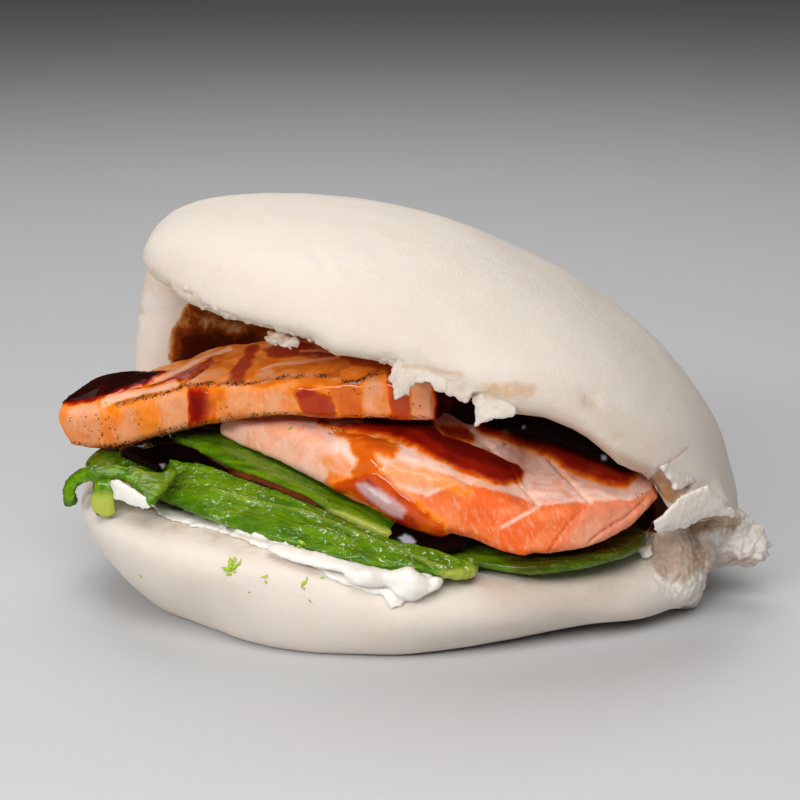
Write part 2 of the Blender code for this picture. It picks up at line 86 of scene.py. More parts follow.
@dataclass(frozen=True)
class Sight:
    """A fixed eye before the bun and the drawing, 800 units a side, that outlines are set out on.

    A mark drawn at (across, down) is carried along its sight line onto the piece it belongs to.
    """

    aim: Triple = (-2.13 * MM, -1.46 * MM, 32.15 * MM)
    distance: float = 420 * MM
    lift: float = math.radians(14.0)
    reach: float = 2625.0  # drawing units at one unit of slope
    half: float = 400.0

    @property
    def forward(self) -> Array:
        """The way the eye looks."""
        return np.array((0.0, math.cos(self.lift), -math.sin(self.lift)))

    @property
    def upward(self) -> Array:
        """The drawing's upward way."""
        return np.array((0.0, math.sin(self.lift), math.cos(self.lift)))

    @property
    def eye(self) -> Array:
        """Where the eye stands."""
        return np.array(self.aim) - self.forward * self.distance

    def seen(self, points: Array) -> Array:
        """Carries points onto the drawing.

        Args:
            points: rows of three coordinates.

        Returns:
            Rows of (across, down).
        """
        away = points - self.eye
        deep = away @ self.forward
        across = self.half + self.reach * away[:, 0] / deep
        return np.stack((across, self.half - self.reach * (away @ self.upward) / deep), axis=1)

    def ray(self, across: float, down: float) -> Vector:
        """The direction of the sight line through a place on the drawing.

        Args:
            across: place on the drawing.
            down: place on the drawing.

        Returns:
            The direction.
        """
        side = np.array(((across - self.half) / self.reach, 0.0, 0.0))
        line = self.forward + side + self.upward * (self.half - down) / self.reach
        return Vector(line).normalized()

    def at(self, across: float, down: float, y: float) -> Vector:
        """The point of a sight line that lies at a given depth.

        Args:
            across: place on the drawing.
            down: place on the drawing.
            y: the depth along +Y, in millimetres.

        Returns:
            The point, in metres.
        """
        line = self.ray(across, down)
        eye = Vector(self.eye)
        return eye + line * ((y * MM - eye.y) / line.y)

    def onto(self, across: float, down: float, tree: BVHTree) -> tuple[Vector, Vector] | None:
        """Where a sight line first meets some surfaces, and the normal there, if it does."""
        spot, normal, _, _ = tree.ray_cast(Vector(self.eye), self.ray(across, down))
        return None if spot is None else (spot, normal)


SIGHT = Sight()


def smooth_step(values: Array, low: float, high: float) -> Array:
    """Eases values from 0 at low to 1 at high."""
    share = np.clip((values - low) / (high - low), 0.0, 1.0)
    return share * share * (3.0 - 2.0 * share)


def most_of(*layers: Array) -> Array:
    """The largest of several layers, place by place."""
    return np.maximum.reduce(layers)


FIRST_STIR, SECOND_STIR = np.uint64(0x9E3779B97F4A7C15), np.uint64(0xBF58476D1CE4E5B9)


def unevenness(points: Array, size: float, layers: int, seed: int) -> Array:
    """Soft noise that is the same at every run.

    Args:
        points: rows of coordinates.
        size: the width of its largest lumps, in the points' units.
        layers: how many ever finer layers are added.
        seed: which noise.

    Returns:
        A value of about -1 to 1 for each point.
    """
    total, weight, reach = np.zeros(len(points)), 0.5, 0.0
    turned = points / size + seed * 17.31
    for layer in range(layers):
        cell = np.floor(turned).astype(np.int64)
        part = turned - cell
        part = part * part * part * (part * (part * 6.0 - 15.0) + 10.0)
        value = np.zeros(len(points))
        for corner in range(2 ** points.shape[1]):
            pick = np.array([(corner >> axis) & 1 for axis in range(points.shape[1])])
            spot = (cell + pick).astype(np.uint64)
            mixed = np.zeros(len(points), np.uint64)
            for axis in range(points.shape[1]):
                mixed = (mixed ^ spot[:, axis]) * FIRST_STIR
                mixed ^= mixed >> np.uint64(29)
            mixed = (mixed + np.uint64(seed + layer)) * SECOND_STIR
            mixed ^= mixed >> np.uint64(32)
            share = np.prod(np.where(pick, part, 1.0 - part), axis=1)
            value += share * ((mixed & np.uint64(0xFFFFFF)).astype(float) / 0x7FFFFF - 1.0)
        total += weight * value
        reach += weight
        weight *= 0.5
        turned = np.roll(turned, -1, axis=1) * 2.03 + 11.7
    return total / reach * 1.4


def along_table(across: Array, table: Outline) -> Array:
    """Reads a table of (across, value) pairs with its corners rounded off.

    Args:
        across: where it is read.
        table: the pairs.

    Returns:
        The values.
    """
    stops, values = np.array(table, float).T
    offs = (-20, -10, 0, 10, 20)
    return sum(np.interp(across + off, stops, values) for off in offs) / len(offs)


def gap_to_side(places: Array, one: Array, two: Array) -> Array:
    """How far places on the drawing lie from the straight side between two corners.

    Args:
        places: the places.
        one: the first corner.
        two: the second.

    Returns:
        The distances.
    """
    side = two - one
    share = np.clip(((places - one) @ side) / max(side @ side, 1e-9), 0.0, 1.0)
    gap = places - one - share[:, None] * side
    return np.hypot(gap[:, 0], gap[:, 1])


def depth_inside(places: Array, outline: Outline) -> Array:
    """How far places on the drawing lie inside an outline, and below 0 outside.

    Args:
        places: the places.
        outline: its corners.

    Returns:
        The distances.
    """
    corners = np.array(outline, float)
    nearest = np.full(len(places), np.inf)
    within = np.zeros(len(places), bool)
    for one, two in zip(corners, np.roll(corners, -1, axis=0)):
        nearest = np.minimum(nearest, gap_to_side(places, one, two))
        crossed = (one[1] > places[:, 1]) != (two[1] > places[:, 1])
        slope = (two[0] - one[0]) / (two[1] - one[1] if two[1] != one[1] else 1e-9)
        within ^= crossed & (places[:, 0] < one[0] + slope * (places[:, 1] - one[1]))
    return np.where(within, nearest, -nearest)


def distance_to_path(places: Array, path: Outline) -> Array:
    """How far places on the drawing lie from an open path.

    Args:
        places: the places.
        path: its stops.

    Returns:
        The distances.
    """
    stops = np.array(path, float)
    gaps = [gap_to_side(places, one, two) for one, two in zip(stops[:-1], stops[1:])]
    return np.minimum.reduce(gaps)


# ---- at the bench


def only(piece: Piece) -> None:
    """Selects one piece alone and makes it the active one.

    Args:
        piece: the piece.
    """
    bpy.ops.object.select_all(action="DESELECT")
    piece.select_set(True)
    bpy.context.view_layer.objects.active = piece


@contextmanager
def editing() -> Iterator[None]:
    """Keeps the active piece in edit mode for a while."""
    bpy.ops.object.mode_set(mode="EDIT")
    yield
    bpy.ops.object.mode_set(mode="OBJECT")


def finished(piece: Piece, kind: str, **settings: Any) -> None:
    """Adds a modifier to a piece and applies it.

    Args:
        piece: the piece.
        kind: the modifier's type.
        settings: its properties.
    """
    only(piece)
    modifier = piece.modifiers.new(kind.lower(), kind)
    for name, value in settings.items():
        setattr(modifier, name, value)
    bpy.ops.object.modifier_apply(modifier=modifier.name)


def smoothed(piece: Piece, rounds: int, group: str = "") -> None:
    """Smooths a piece by some rounds, all over or in one vertex group."""
    finished(piece, "SMOOTH", factor=0.5, iterations=rounds, vertex_group=group)


def fine_skin(piece: Piece, voxel: float, rounds: int) -> None:
    """Gives a piece an even mesh, a voxel to a face, and smooths it by some rounds."""
    finished(piece, "REMESH", mode="VOXEL", voxel_size=voxel, use_smooth_shade=True)
    smoothed(piece, rounds)


def ironed(piece: Piece, weights: Array, rounds: int) -> None:
    """Smooths a piece where it is marked.

    Args:
        piece: the piece.
        weights: how much of the smoothing each vertex takes.
        rounds: how many rounds.
    """
    group = piece.vertex_groups.new(name="ironed")
    for weight in (0.25, 0.50, 0.75, 1.0):
        chosen = np.flatnonzero((weights > weight - 0.24) & (weights <= weight + 0.01))
        group.add(chosen.tolist(), weight, "REPLACE")
    smoothed(piece, rounds, group.name)
    piece.vertex_groups.clear()


def surfaces(pieces: Sequence[Piece]) -> BVHTree:
    """The surfaces of several pieces, for finding what a sight line meets.

    Args:
        pieces: the pieces.

    Returns:
        Their tree.
    """
    points, faces = [], []
    for piece in pieces:
        start = len(points)
        points.extend(vertex.co.copy() for vertex in piece.data.vertices)
        faces.extend([start + corner for corner in face.vertices] for face in piece.data.polygons)
    return BVHTree.FromPolygons(points, faces)


def placed(name: str, data: bpy.types.ID) -> Piece:
    """Puts a mesh, a light or a camera into the scene.

    Args:
        name: the new piece's name.
        data: what it shows.

    Returns:
        The piece.
    """
    piece = bpy.data.objects.new(name, data)
    bpy.context.scene.collection.objects.link(piece)
    return piece


def copy_of_solid(node: str, name: str) -> Piece:
    """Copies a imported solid's mesh into a new piece and merges its loose triangles.

    Args:
        node: the solid's name.
        name: the new piece's name.

    Returns:
        The new piece.
    """
    mesh = FRAME["nodes"][node].data.copy()
    mesh.materials.clear()
    piece = placed(name, mesh)
    only(piece)
    with editing():
        bpy.ops.mesh.select_all(action="SELECT")
        bpy.ops.mesh.remove_doubles(threshold=1e-6)
    return piece


def primitive(name: str) -> Piece:
    """Names the primitive that was just added and returns it.

    Args:
        name: its name.

    Returns:
        The piece.
    """
    piece = bpy.context.active_object
    piece.name = piece.data.name = name
    return piece


def places_of(piece: Piece) -> Array:
    """The places of a piece's vertices, as rows of three.

    Args:
        piece: the piece.

    Returns:
        The places.
    """
    found = np.empty(len(piece.data.vertices) * 3)
    piece.data.vertices.foreach_get("co", found)
    return found.reshape(-1, 3)


def put(piece: Piece, places: Array) -> None:
    """Moves a piece's vertices to new places."""
    piece.data.vertices.foreach_set("co", np.ascontiguousarray(places).ravel())
    piece.data.update()


def choose(piece: Piece, kind: str, wanted: Array) -> None:
    """Selects faces or vertices of the active piece.

    Args:
        piece: the piece.
        kind: FACE or VERT.
        wanted: a true or false value for each of them.
    """
    with editing():
        bpy.ops.mesh.select_mode(type=kind)
        bpy.ops.mesh.select_all(action="DESELECT")
    parts = piece.data.polygons if kind == "FACE" else piece.data.vertices
    parts.foreach_set("select", wanted)


def refine(piece: Piece, wanted: Array) -> None:
    """Subdivides the faces of a piece whose corners are all marked.

    Args:
        piece: the piece.
        wanted: a true or false value for each vertex.
    """
    only(piece)
    mesh = piece.data
    corners = np.empty(len(mesh.loops), np.int64)
    mesh.loops.foreach_get("vertex_index", corners)
    starts = np.empty(len(mesh.polygons), np.int64)
    mesh.polygons.foreach_get("loop_start", starts)
    choose(piece, "FACE", np.minimum.reduceat(wanted[corners].astype(np.int8), starts).astype(bool))
    with editing():
        bpy.ops.mesh.subdivide(number_cuts=2, smoothness=0.0)


def dress(piece: Piece, material: Material) -> None:
    """Gives a piece one finish and shades it smooth.

    Args:
        piece: the piece.
        material: the finish.
    """
    piece.data.materials.clear()
    piece.data.materials.append(material)
    only(piece)
    bpy.ops.object.shade_smooth()


@dataclass(frozen=True)
class Touch:
    """One touch of a brush: a patch inside an outline, or a stroke along it if it has a width."""

    outline: Outline
    amount: float
    soft: float = 7.0  # the width of its soft edge
    ragged: float = 3.0  # how far its edge strays
    grain: float = 1.5  # the size of its raggedness
    width: float = 0.0  # a stroke's full width


class Marks:
    """What is marked on one piece: a value from 0 to 1 at each of its vertices."""

    TURNING_AWAY = (-0.12, 0.08)  # slopes to the sight line between which marks fade in

    def __init__(self, piece: Piece) -> None:
        """Reads a piece's shape.

        Args:
            piece: the piece to mark.
        """
        self.piece = piece
        self.points = places_of(piece)
        found = np.empty(len(self.points) * 3, np.float32)
        piece.data.vertex_normals.foreach_get("vector", found)
        self.normals = found.reshape(-1, 3).astype(float)
        self.drawn = SIGHT.seen(self.points)
        toward = SIGHT.eye - self.points
        toward /= np.linalg.norm(toward, axis=1)[:, None]
        self.facing = smooth_step((self.normals * toward).sum(axis=1), *self.TURNING_AWAY)

    def rough(self, size: float, layers: int, seed: int) -> Array:
        """Noise over the piece, about -1 to 1, with lumps of a size, ever finer in layers."""
        return unevenness(self.points, size * MM, layers, seed)

    def mottle(self, size: float, layers: int, seed: int, low: float, high: float) -> Array:
        """Noise over the piece, eased from 0 at low to 1 at high."""
        return smooth_step(self.rough(size, layers, seed), low, high)

    def patch(
        self, outline: Outline, soft: float, ragged: float = 0.0, grain: float = 1.5
    ) -> Array:
        """A patch inside an outline of the drawing, on what faces the eye.

        Args:
            outline: its corners.
            soft: the width of its soft edge.
            ragged: how far its edge strays.
            grain: the size of its raggedness.

        Returns:
            The patch's values.
        """
        depth = depth_inside(self.drawn, outline)
        if ragged:
            depth = depth + ragged * self.rough(grain, 3, len(outline))
        return smooth_step(depth, -soft / 2, soft / 2) * self.facing

    def stroke(self, path: Outline, width: float, soft: float) -> Array:
        """A stroke along a path of the drawing, of full width, on what faces the eye."""
        near = distance_to_path(self.drawn, path)
        return (1.0 - smooth_step(near, width / 2 - soft / 2, width / 2 + soft / 2)) * self.facing

    def touched(self, touch: Touch) -> Array:
        """What one touch leaves at each vertex."""
        if touch.width:
            return touch.amount * self.stroke(touch.outline, touch.width, touch.soft)
        return touch.amount * self.patch(touch.outline, touch.soft, touch.ragged, touch.grain)

    def most(self, touches: Sequence[Touch]) -> Array:
        """The most of several touches at each vertex."""
        return most_of(np.zeros(len(self.points)), *map(self.touched, touches))

    def patches(self, outlines: Outlines, soft: float, ragged: float) -> Array:
        """The most of several patches, each with its amount."""
        return self.most([Touch(outline, amount, soft, ragged) for outline, amount in outlines])

    def strokes(self, paths: Outlines, soft: float) -> Array:
        """The most of several strokes, each with its width."""
        return self.most([Touch(path, 1.0, soft, width=width) for path, width in paths])

    def dome(self, outline: Outline, rise: float, shore: float) -> Array:
        """The height of a rounded puddle inside an outline, whose rim is as wide as its shore."""
        share = np.clip(depth_inside(self.drawn, outline) / shore, 0.0, 1.0)
        return rise * np.sqrt(1.0 - (1.0 - share) ** 2) * self.facing

    def swell(self, amounts: Array) -> None:
        """Moves each vertex along its normal."""
        self.points = self.points + self.normals * (amounts * MM)[:, None]
        put(self.piece, self.points)

    def push(self, amounts: Array) -> None:
        """Moves each vertex away from the eye.

        Args:
            amounts: how far.
        """
        away = self.points - SIGHT.eye
        away /= np.linalg.norm(away, axis=1)[:, None]
        self.points = self.points + away * (amounts * MM)[:, None]
        put(self.piece, self.points)

    def lower(self, units: Array) -> None:
        """Moves each vertex down the drawing.

        Args:
            units: how far.
        """
        deep = (self.points - SIGHT.eye) @ SIGHT.forward
        self.points = self.points - SIGHT.upward * (units * deep / SIGHT.reach)[:, None]
        put(self.piece, self.points)

    def keep(self, **values: Array) -> None:
        """Stores named values on the piece, for its finish to read."""
        for name, amounts in values.items():
            layer = self.piece.data.attributes.new(name, "FLOAT", "POINT")
            layer.data.foreach_set("value", np.clip(amounts, 0.0, 1.0).astype(np.float32))


# ---- finishes


class Amount:
    """A number that changes over a surface. Arithmetic on it adds Math nodes."""

    def __init__(self, graph: "Graph", socket: Socket) -> None:
        """Wraps a socket of a graph."""
        self.graph = graph
        self.socket = socket

    def __add__(self, other: "Amount | float") -> "Amount":
        """Adds."""
        return self.graph.maths("ADD", self, other)

    __radd__ = __add__

    def __sub__(self, other: "Amount | float") -> "Amount":
        """Subtracts."""
        return self.graph.maths("SUBTRACT", self, other)

    def __rsub__(self, other: "Amount | float") -> "Amount":
        """Subtracts from a number."""
        return self.graph.maths("SUBTRACT", other, self)

    def __mul__(self, other: "Amount | float") -> "Amount":
        """Multiplies."""
        return self.graph.maths("MULTIPLY", self, other)

    __rmul__ = __mul__

    def clamped(self) -> "Amount":
        """Keeps it between 0 and 1."""
        return self.graph.maths("ADD", self, 0.0, clamp=True)

    def most(self, other: "Amount | float") -> "Amount":
        """The larger of two."""
        return self.graph.maths("MAXIMUM", self, other)

    def eased(self, low: float, high: float) -> "Amount":
        """Eases from 0 at low to 1 at high.

        Args:
            low: where it leaves 0.
            high: where it reaches 1.

        Returns:
            The eased amount.
        """
        node = self.graph.node(
            "ShaderNodeMapRange",
            {"interpolation_type": "SMOOTHSTEP"},
            {"Value": self, "From Min": low, "From Max": high},
        )
        return Amount(self.graph, node.outputs["Result"])


class Graph:
    """The nodes of one finish."""

    def __init__(self, name: str) -> None:
        """Starts a material with one Principled shader.

        Args:
            name: the material's name.
        """
        self.material = bpy.data.materials.new(name)
        self.material.use_nodes = True
        self.tree = self.material.node_tree
        self.tree.nodes.clear()
        self.shader = self.node("ShaderNodeBsdfPrincipled")
        self.node("ShaderNodeOutputMaterial", {}, {"Surface": self.shader.outputs["BSDF"]})
        self.place = self.node("ShaderNodeTexCoord").outputs["Object"]

    def node(
        self, kind: str, settings: dict[str, Any] | None = None, values: dict | None = None
    ) -> bpy.types.Node:
        """Adds any node.

        Args:
            kind: its type.
            settings: its properties, and "stops" for a ramp: pairs of place and colour.
            values: a number, a colour or a link for each socket by name or place.

        Returns:
            The node.
        """
        node = self.tree.nodes.new(kind)
        for name, value in (settings or {}).items():
            if name == "stops":
                ramp = node.color_ramp
                while len(ramp.elements) < len(value):
                    ramp.elements.new(1.0)
                for element, (place, colour) in zip(ramp.elements, value):
                    element.position, element.color = place, (*colour, 1.0)
            else:
                setattr(node, name, value)
        for key, value in (values or {}).items():
            self.fill(node.inputs[key], value)
        return node

    def fill(self, socket: Socket, value: Any) -> None:
        """Links a socket, or sets it.

        Args:
            socket: the socket.
            value: an amount, another socket, a colour or a number.
        """
        if isinstance(value, Amount):
            self.tree.links.new(value.socket, socket)
        elif isinstance(value, Socket):
            self.tree.links.new(value, socket)
        else:
            socket.default_value = (*value, 1.0) if socket.type == "RGBA" else value

    def maths(
        self, operation: str, one: Amount | float, two: Amount | float, clamp: bool = False
    ) -> Amount:
        """Adds a Math node on two values, and keeps its result between 0 and 1 on request."""
        settings = {"operation": operation, "use_clamp": clamp}
        return Amount(self, self.node("ShaderNodeMath", settings, {0: one, 1: two}).outputs[0])

    def marked(self, name: str) -> Amount:
        """Reads a value that was kept on the piece."""
        node = self.node("ShaderNodeAttribute", {"attribute_name": name})
        return Amount(self, node.outputs["Fac"])

    def turned(self, turn: Triple, stretch: Triple) -> Socket:
        """Object coordinates, turned and then stretched.

        Args:
            turn: degrees about each axis.
            stretch: what each axis is multiplied by.

        Returns:
            The vector's socket.
        """
        first = self.node(
            "ShaderNodeMapping",
            {"vector_type": "POINT"},
            {"Vector": self.place, "Rotation": [math.radians(angle) for angle in turn]},
        )
        second = self.node(
            "ShaderNodeMapping", {}, {"Vector": first.outputs[0], "Scale": stretch}
        )
        return second.outputs[0]

    def cloud(
        self,
        size: float,
        detail: float = 3.0,
        rough: float = 0.5,
        warp: float = 0.0,
        place: Socket | None = None,
    ) -> Amount:
        """Noise.

        Args:
            size: the width of its lumps.
            detail: how many ever finer layers.
            rough: how strong these are.
            warp: how much it is twisted.
            place: other coordinates to read.

        Returns:
            An amount round 0.5.
        """
        values = {
            "Vector": place or self.place,
            "Scale": 1000.0 / size,
            "Detail": detail,
            "Roughness": rough,
            "Distortion": warp,
        }
        return Amount(self, self.node("ShaderNodeTexNoise", {}, values).outputs[0])

    def dots(self, size: float, share: "Amount", spread: float = 0.34) -> Amount:
        """Round specks, as many as a share asks for.

        Args:
            size: how far apart they may lie, in millimetres.
            share: how many of them there are, from 0 to 1.
            spread: how wide each one is, in parts of size.

        Returns:
            1 on a speck.
        """
        warped = self.node(
            "ShaderNodeVectorMath",
            {"operation": "MULTIPLY_ADD"},
            {
                0: self.node(
                    "ShaderNodeTexNoise", {}, {"Vector": self.place, "Scale": 1600.0 / size}
                ).outputs["Color"],
                1: (0.0005 * size,) * 3,
                2: self.place,
            },
        ).outputs[0]
        node = self.node(
            "ShaderNodeTexVoronoi", {}, {"Vector": warped, "Scale": 1000.0 / size}
        )
        chosen = (share - Amount(self, node.outputs["Color"])).eased(0.0, 0.06)
        near = Amount(self, node.outputs["Distance"])
        return chosen * (1.0 - near.eased(spread * 0.7, spread * 1.25))

    def mixed(self, share: Amount | float, one: Any, two: Any) -> Socket:
        """Mixes two colours, or their links, by the share of the second."""
        node = self.node("ShaderNodeMix", {"data_type": "RGBA"}, {0: share, 6: one, 7: two})
        return node.outputs[2]

    def ramp(self, share: Amount, stops: Sequence[tuple[float, Colour]]) -> Any:
        """Colours along an amount."""
        return self.node("ShaderNodeValToRGB", {"stops": stops}, {"Fac": share}).outputs[0]

    def relief(self, height: Amount, deep: float) -> Socket:
        """A bump as deep as 1 of its height stands for."""
        node = self.node("ShaderNodeBump", {}, {"Height": height, "Distance": deep * MM})
        return node.outputs[0]

    def shade(self, **values: Any) -> Material:
        """Fills the shader's sockets, named with underscores for spaces."""
        for name, value in values.items():
            self.fill(self.shader.inputs[name.replace("_", " ")], value)
        return self.material


@dataclass(frozen=True)
class SteamedDough:
    """White steamed dough: smooth skin, torn crumb, sauce that soaked in, tan spots, and painted
    shade in tan and warm brown.
    """

    skin: Colour = (0.80, 0.722, 0.648)
    skin_warm: Colour = (0.755, 0.645, 0.54)
    crumb: Colour = (0.82, 0.752, 0.705)
    tan: Colour = (0.56, 0.32, 0.13)
    # the warm brown tone of painted shade
    warm: Colour = (0.44, 0.31, 0.215)
    soaked_edge: Colour = (0.62, 0.27, 0.075)
    soaked: Colour = (0.30, 0.055, 0.005)
    soaked_deep: Colour = (0.085, 0.010, 0.002)

    def material(self) -> Material:
        """Builds the finish, which reads the kept values crumb, tan, warm and soak; tan and soak
        also carry painted shade.

        Returns:
            The material.
        """
        graph = Graph("steamed_dough")
        crumb, tan, soak = (graph.marked(name) for name in ("crumb", "tan", "soak"))
        warm = graph.marked("warm")
        blotches = graph.cloud(9.0, 4.0, 0.55, 0.4)
        mottle = graph.cloud(1.1, 4.0, 0.6)
        skin = graph.mixed(blotches.eased(0.45, 0.75) * 0.4, self.skin, self.skin_warm)
        specks = graph.cloud(2.6, 5.0, 0.7).eased(0.66, 0.73) * 0.22
        skin = graph.mixed(specks, skin, self.tan)
        skin = graph.mixed(crumb, skin, self.crumb)
        # painted shade, mottled
        skin = graph.mixed((warm * (mottle * 0.8 + 0.6)).clamped(), skin, self.warm)
        # tan stains, and tan painted shade in the hollows of the torn end
        tan_share = (tan * (mottle * 1.4 + 0.1)).clamped()
        skin = graph.mixed(tan_share * 0.75, skin, self.tan)
        clots = graph.cloud(3.0, 4.0, 0.6, 0.6)
        # the soaked crumb, wetter and darker with soak, which behind the right lip also paints
        # shade
        wet_and_painted_light = (soak + (clots - 0.5) * 1.1 + (mottle - 0.5) * 0.5).clamped() * soak.eased(0.02, 0.35)
        brown = graph.ramp(
            wet_and_painted_light,
            (
                (0.0, self.soaked_edge),
                (0.35, self.soaked_edge),
                (0.6, self.soaked),
                (0.92, self.soaked_deep),
            ),
        )
        colour = graph.mixed(wet_and_painted_light.eased(0.05, 0.40), skin, brown)
        pores = graph.cloud(0.42, 3.0, 0.65) * 0.5 + graph.cloud(1.7, 3.0, 0.55) * 0.5
        fluff = graph.cloud(0.60, 3.0, 0.65) + graph.cloud(0.22, 2.0, 0.6) * 0.8
        height = pores * (1.0 - crumb) * 0.85 + fluff * crumb * 1.1 + clots * soak * 2.0
        return graph.shade(
            Base_Color=colour,
            Roughness=0.64 - wet_and_painted_light.eased(0.2, 0.6) * 0.36,
            Normal=graph.relief(height, 0.20),
            Subsurface_Weight=0.25,
            Subsurface_Radius=(1.0, 0.6, 0.36),
            Subsurface_Scale=1.8 * MM,
            Specular_IOR_Level=0.25,
        )


@dataclass(frozen=True)
class GlazedSalmon:
    """Cooked salmon under sauce: pale cooked flesh, orange cut flesh, fat lines, char and glaze,
    with painted highlights.
    """

    name: str
    cut: Colour
    cut_deep: Colour
    cooked: Colour
    cooked_warm: Colour
    turn: Triple  # of its fibres, in degrees
    fat: Colour = (0.93, 0.62, 0.48)
    char: Colour = (0.018, 0.007, 0.004)
    amber: Colour = (0.96, 0.26, 0.006)
    orange_brown: Colour = (0.60, 0.072, 0.002)
    red_brown: Colour = (0.33, 0.009, 0.0012)
    maroon: Colour = (0.085, 0.0016, 0.0010)
    black: Colour = (0.012, 0.0012, 0.0010)
    toast: Colour = (0.50, 0.13, 0.022)
    painted_highlight: Colour = (0.78, 0.64, 0.66)

    def material(self) -> Material:
        """Builds the finish, which reads the kept values cut, fat, char, sauce and glint, where a
        highlight is painted.

        Returns:
            The material.
        """
        graph = Graph(self.name)
        cut, fat, char, sauce = (graph.marked(name) for name in ("cut", "fat", "char", "sauce"))
        fibres = graph.cloud(0.42, 4.0, 0.6, 0.5, graph.turned(self.turn, (1.0, 0.2, 0.28)))
        patches = graph.cloud(5.0, 4.0, 0.55, 0.8)
        fleck = graph.cloud(0.6, 3.0, 0.6)
        cooked = graph.mixed(patches.eased(0.4, 0.65), self.cooked, self.cooked_warm)
        cooked = graph.mixed(fibres.eased(0.5, 0.75) * 0.3, cooked, self.fat)
        flesh = graph.mixed(patches.eased(0.38, 0.62), self.cut, self.cut_deep)
        flesh = graph.mixed(fibres.eased(0.48, 0.76) * 0.45, flesh, self.fat)
        colour = graph.mixed(cut, cooked, flesh)
        colour = graph.mixed((fat * (fleck * 1.1 + 0.45)).clamped(), colour, self.fat)
        wander = (graph.cloud(4.0, 3.0, 0.5, 0.6) - 0.5) * 0.26 + (fleck - 0.5) * 0.05
        glint = graph.marked("glint")
        thick = (sauce + wander * sauce.eased(0.02, 0.25)).clamped()
        glint = (glint * (fleck * 0.7 + 0.6)).clamped()
        glaze = graph.ramp(
            thick,
            (
                (0.0, self.amber),
                (0.24, self.amber),
                (0.44, self.orange_brown),
                (0.62, self.red_brown),
                (0.84, self.maroon),
                (1.0, self.black),
            ),
        )
        colour = graph.mixed(thick.eased(0.0, 0.34) * 0.995, colour, glaze)
        colour = graph.mixed((char * (fleck * 1.8 - 0.1)).clamped() * 0.85, colour, self.toast)
        burnt = graph.dots(0.62, char * 0.62, 0.38).most(graph.dots(0.30, char * 0.8, 0.52))
        crust = (graph.cloud(0.75, 4.0, 0.75) - 0.5) * 2.6
        burnt = burnt.most((char + crust).eased(0.98, 1.16))
        colour = graph.mixed(burnt * 0.95, colour, self.char)
        # painted highlight: a pale pinkish colour where the glaze would reflect a lamp
        colour = graph.mixed(glint, colour, self.painted_highlight)
        height = fibres * (1.0 - sauce.eased(0.1, 0.5)) + burnt * 0.3
        return graph.shade(
            Base_Color=colour,
            Roughness=0.42 - sauce.eased(0.05, 0.5) * 0.27,
            Coat_Weight=0.04 + sauce.eased(0.10, 0.40) * 0.62 - sauce.eased(0.57, 0.68) * 0.56,
            Coat_Roughness=0.07,
            Coat_IOR=1.48,
            Specular_IOR_Level=0.0,
            Normal=graph.relief(height, 0.13),
            Subsurface_Weight=0.16,
            Subsurface_Radius=(1.0, 0.30, 0.12),
            Subsurface_Scale=1.4 * MM,
        )


@dataclass(frozen=True)
class WetGreen:
    """Wet green flesh with a deeper skin, ridges along its length, a paler cut edge and painted
    glints where it would shine.
    """

    name: str
    turn: Triple  # of its length, in degrees
    pitted: float  # how deep its pits are, in millimetres
    glint: float  # how strong its painted highlights are
    bright: Colour = (0.145, 0.295, 0.003)
    deep: Colour = (0.046, 0.148, 0.002)
    edge: Colour = (0.46, 0.50, 0.075)
    soaked: Colour = (0.035, 0.006, 0.002)
    painted_highlight: Colour = (0.74, 0.84, 0.62)

    def material(self) -> Material:
        """Builds the finish, which reads the kept values edge and dark.

        Returns:
            The material.
        """
        graph = Graph(self.name)
        edge, dark = graph.marked("edge"), graph.marked("dark")
        along = graph.turned(self.turn, (0.14, 1.0, 1.0))
        veins = graph.cloud(1.5, 3.0, 0.55, 0.5, along)
        patches = graph.cloud(6.0, 4.0, 0.6, 0.5)
        pits = graph.cloud(0.9, 4.0, 0.65, 0.3, graph.turned(self.turn, (0.5, 1.0, 1.0)))
        tone = (veins * 0.7 + patches * 0.4 + (pits - 0.5) * 0.3).eased(0.38, 0.70)
        colour = graph.mixed(tone, self.deep, self.bright)
        colour = graph.mixed((edge * (0.75 + pits * 0.4)).clamped(), colour, self.edge)
        colour = graph.mixed(dark.clamped() * 0.92, colour, self.soaked)
        # painted highlights: pale sparkles laid over the colour where the wet skin would catch a
        # lamp
        wet_and_painted_light = graph.cloud(0.60, 3.0, 0.7, 0.8, graph.turned(self.turn, (0.6, 1.0, 1.0)))
        painted_glints = wet_and_painted_light.eased(0.58, 0.65) * patches.eased(0.38, 0.52) * self.glint
        colour = graph.mixed(painted_glints, colour, self.painted_highlight)
        height = veins * 0.4 + pits * 0.8
        return graph.shade(
            Base_Color=colour,
            Roughness=0.24,
            Coat_Weight=0.42,
            Coat_Roughness=0.06,
            Coat_IOR=1.45,
            Specular_IOR_Level=0.08,
            Normal=graph.relief(height, self.pitted),
            Subsurface_Weight=0.12,
            Subsurface_Radius=(0.4, 1.0, 0.10),
            Subsurface_Scale=1.0 * MM,
        )


@dataclass(frozen=True)
class DarkSauce:
    """Thick dark sauce, redder where it runs thin, with painted highlights."""

    thick: Colour = (0.0035, 0.0012, 0.0010)
    thin: Colour = (0.20, 0.050, 0.012)
    painted_highlight: Colour = (0.62, 0.62, 0.72)

    def material(self) -> Material:
        """Builds the finish, which reads the kept values thin, clotted and glint, where a highlight
        is painted.

        Returns:
            The material.
        """
        graph = Graph("dark_sauce")
        thin, clotted, glint = (graph.marked(name) for name in ("thin", "clotted", "glint"))
        streaks = graph.cloud(3.0, 2.0, 0.5)
        share = (thin + (streaks - 0.5) * 0.35).clamped()
        return graph.shade(
            Base_Color=graph.mixed(
                glint, graph.mixed(share.eased(0.35, 0.95), self.thick, self.thin), self.painted_highlight
            ),
            Roughness=0.10 + clotted * 0.35,
            Coat_Weight=0.12 - clotted * 0.07,
            Coat_Roughness=0.03,
            Coat_IOR=1.40,
            Specular_IOR_Level=0.0,
            Normal=graph.relief(streaks, 0.04),
        )


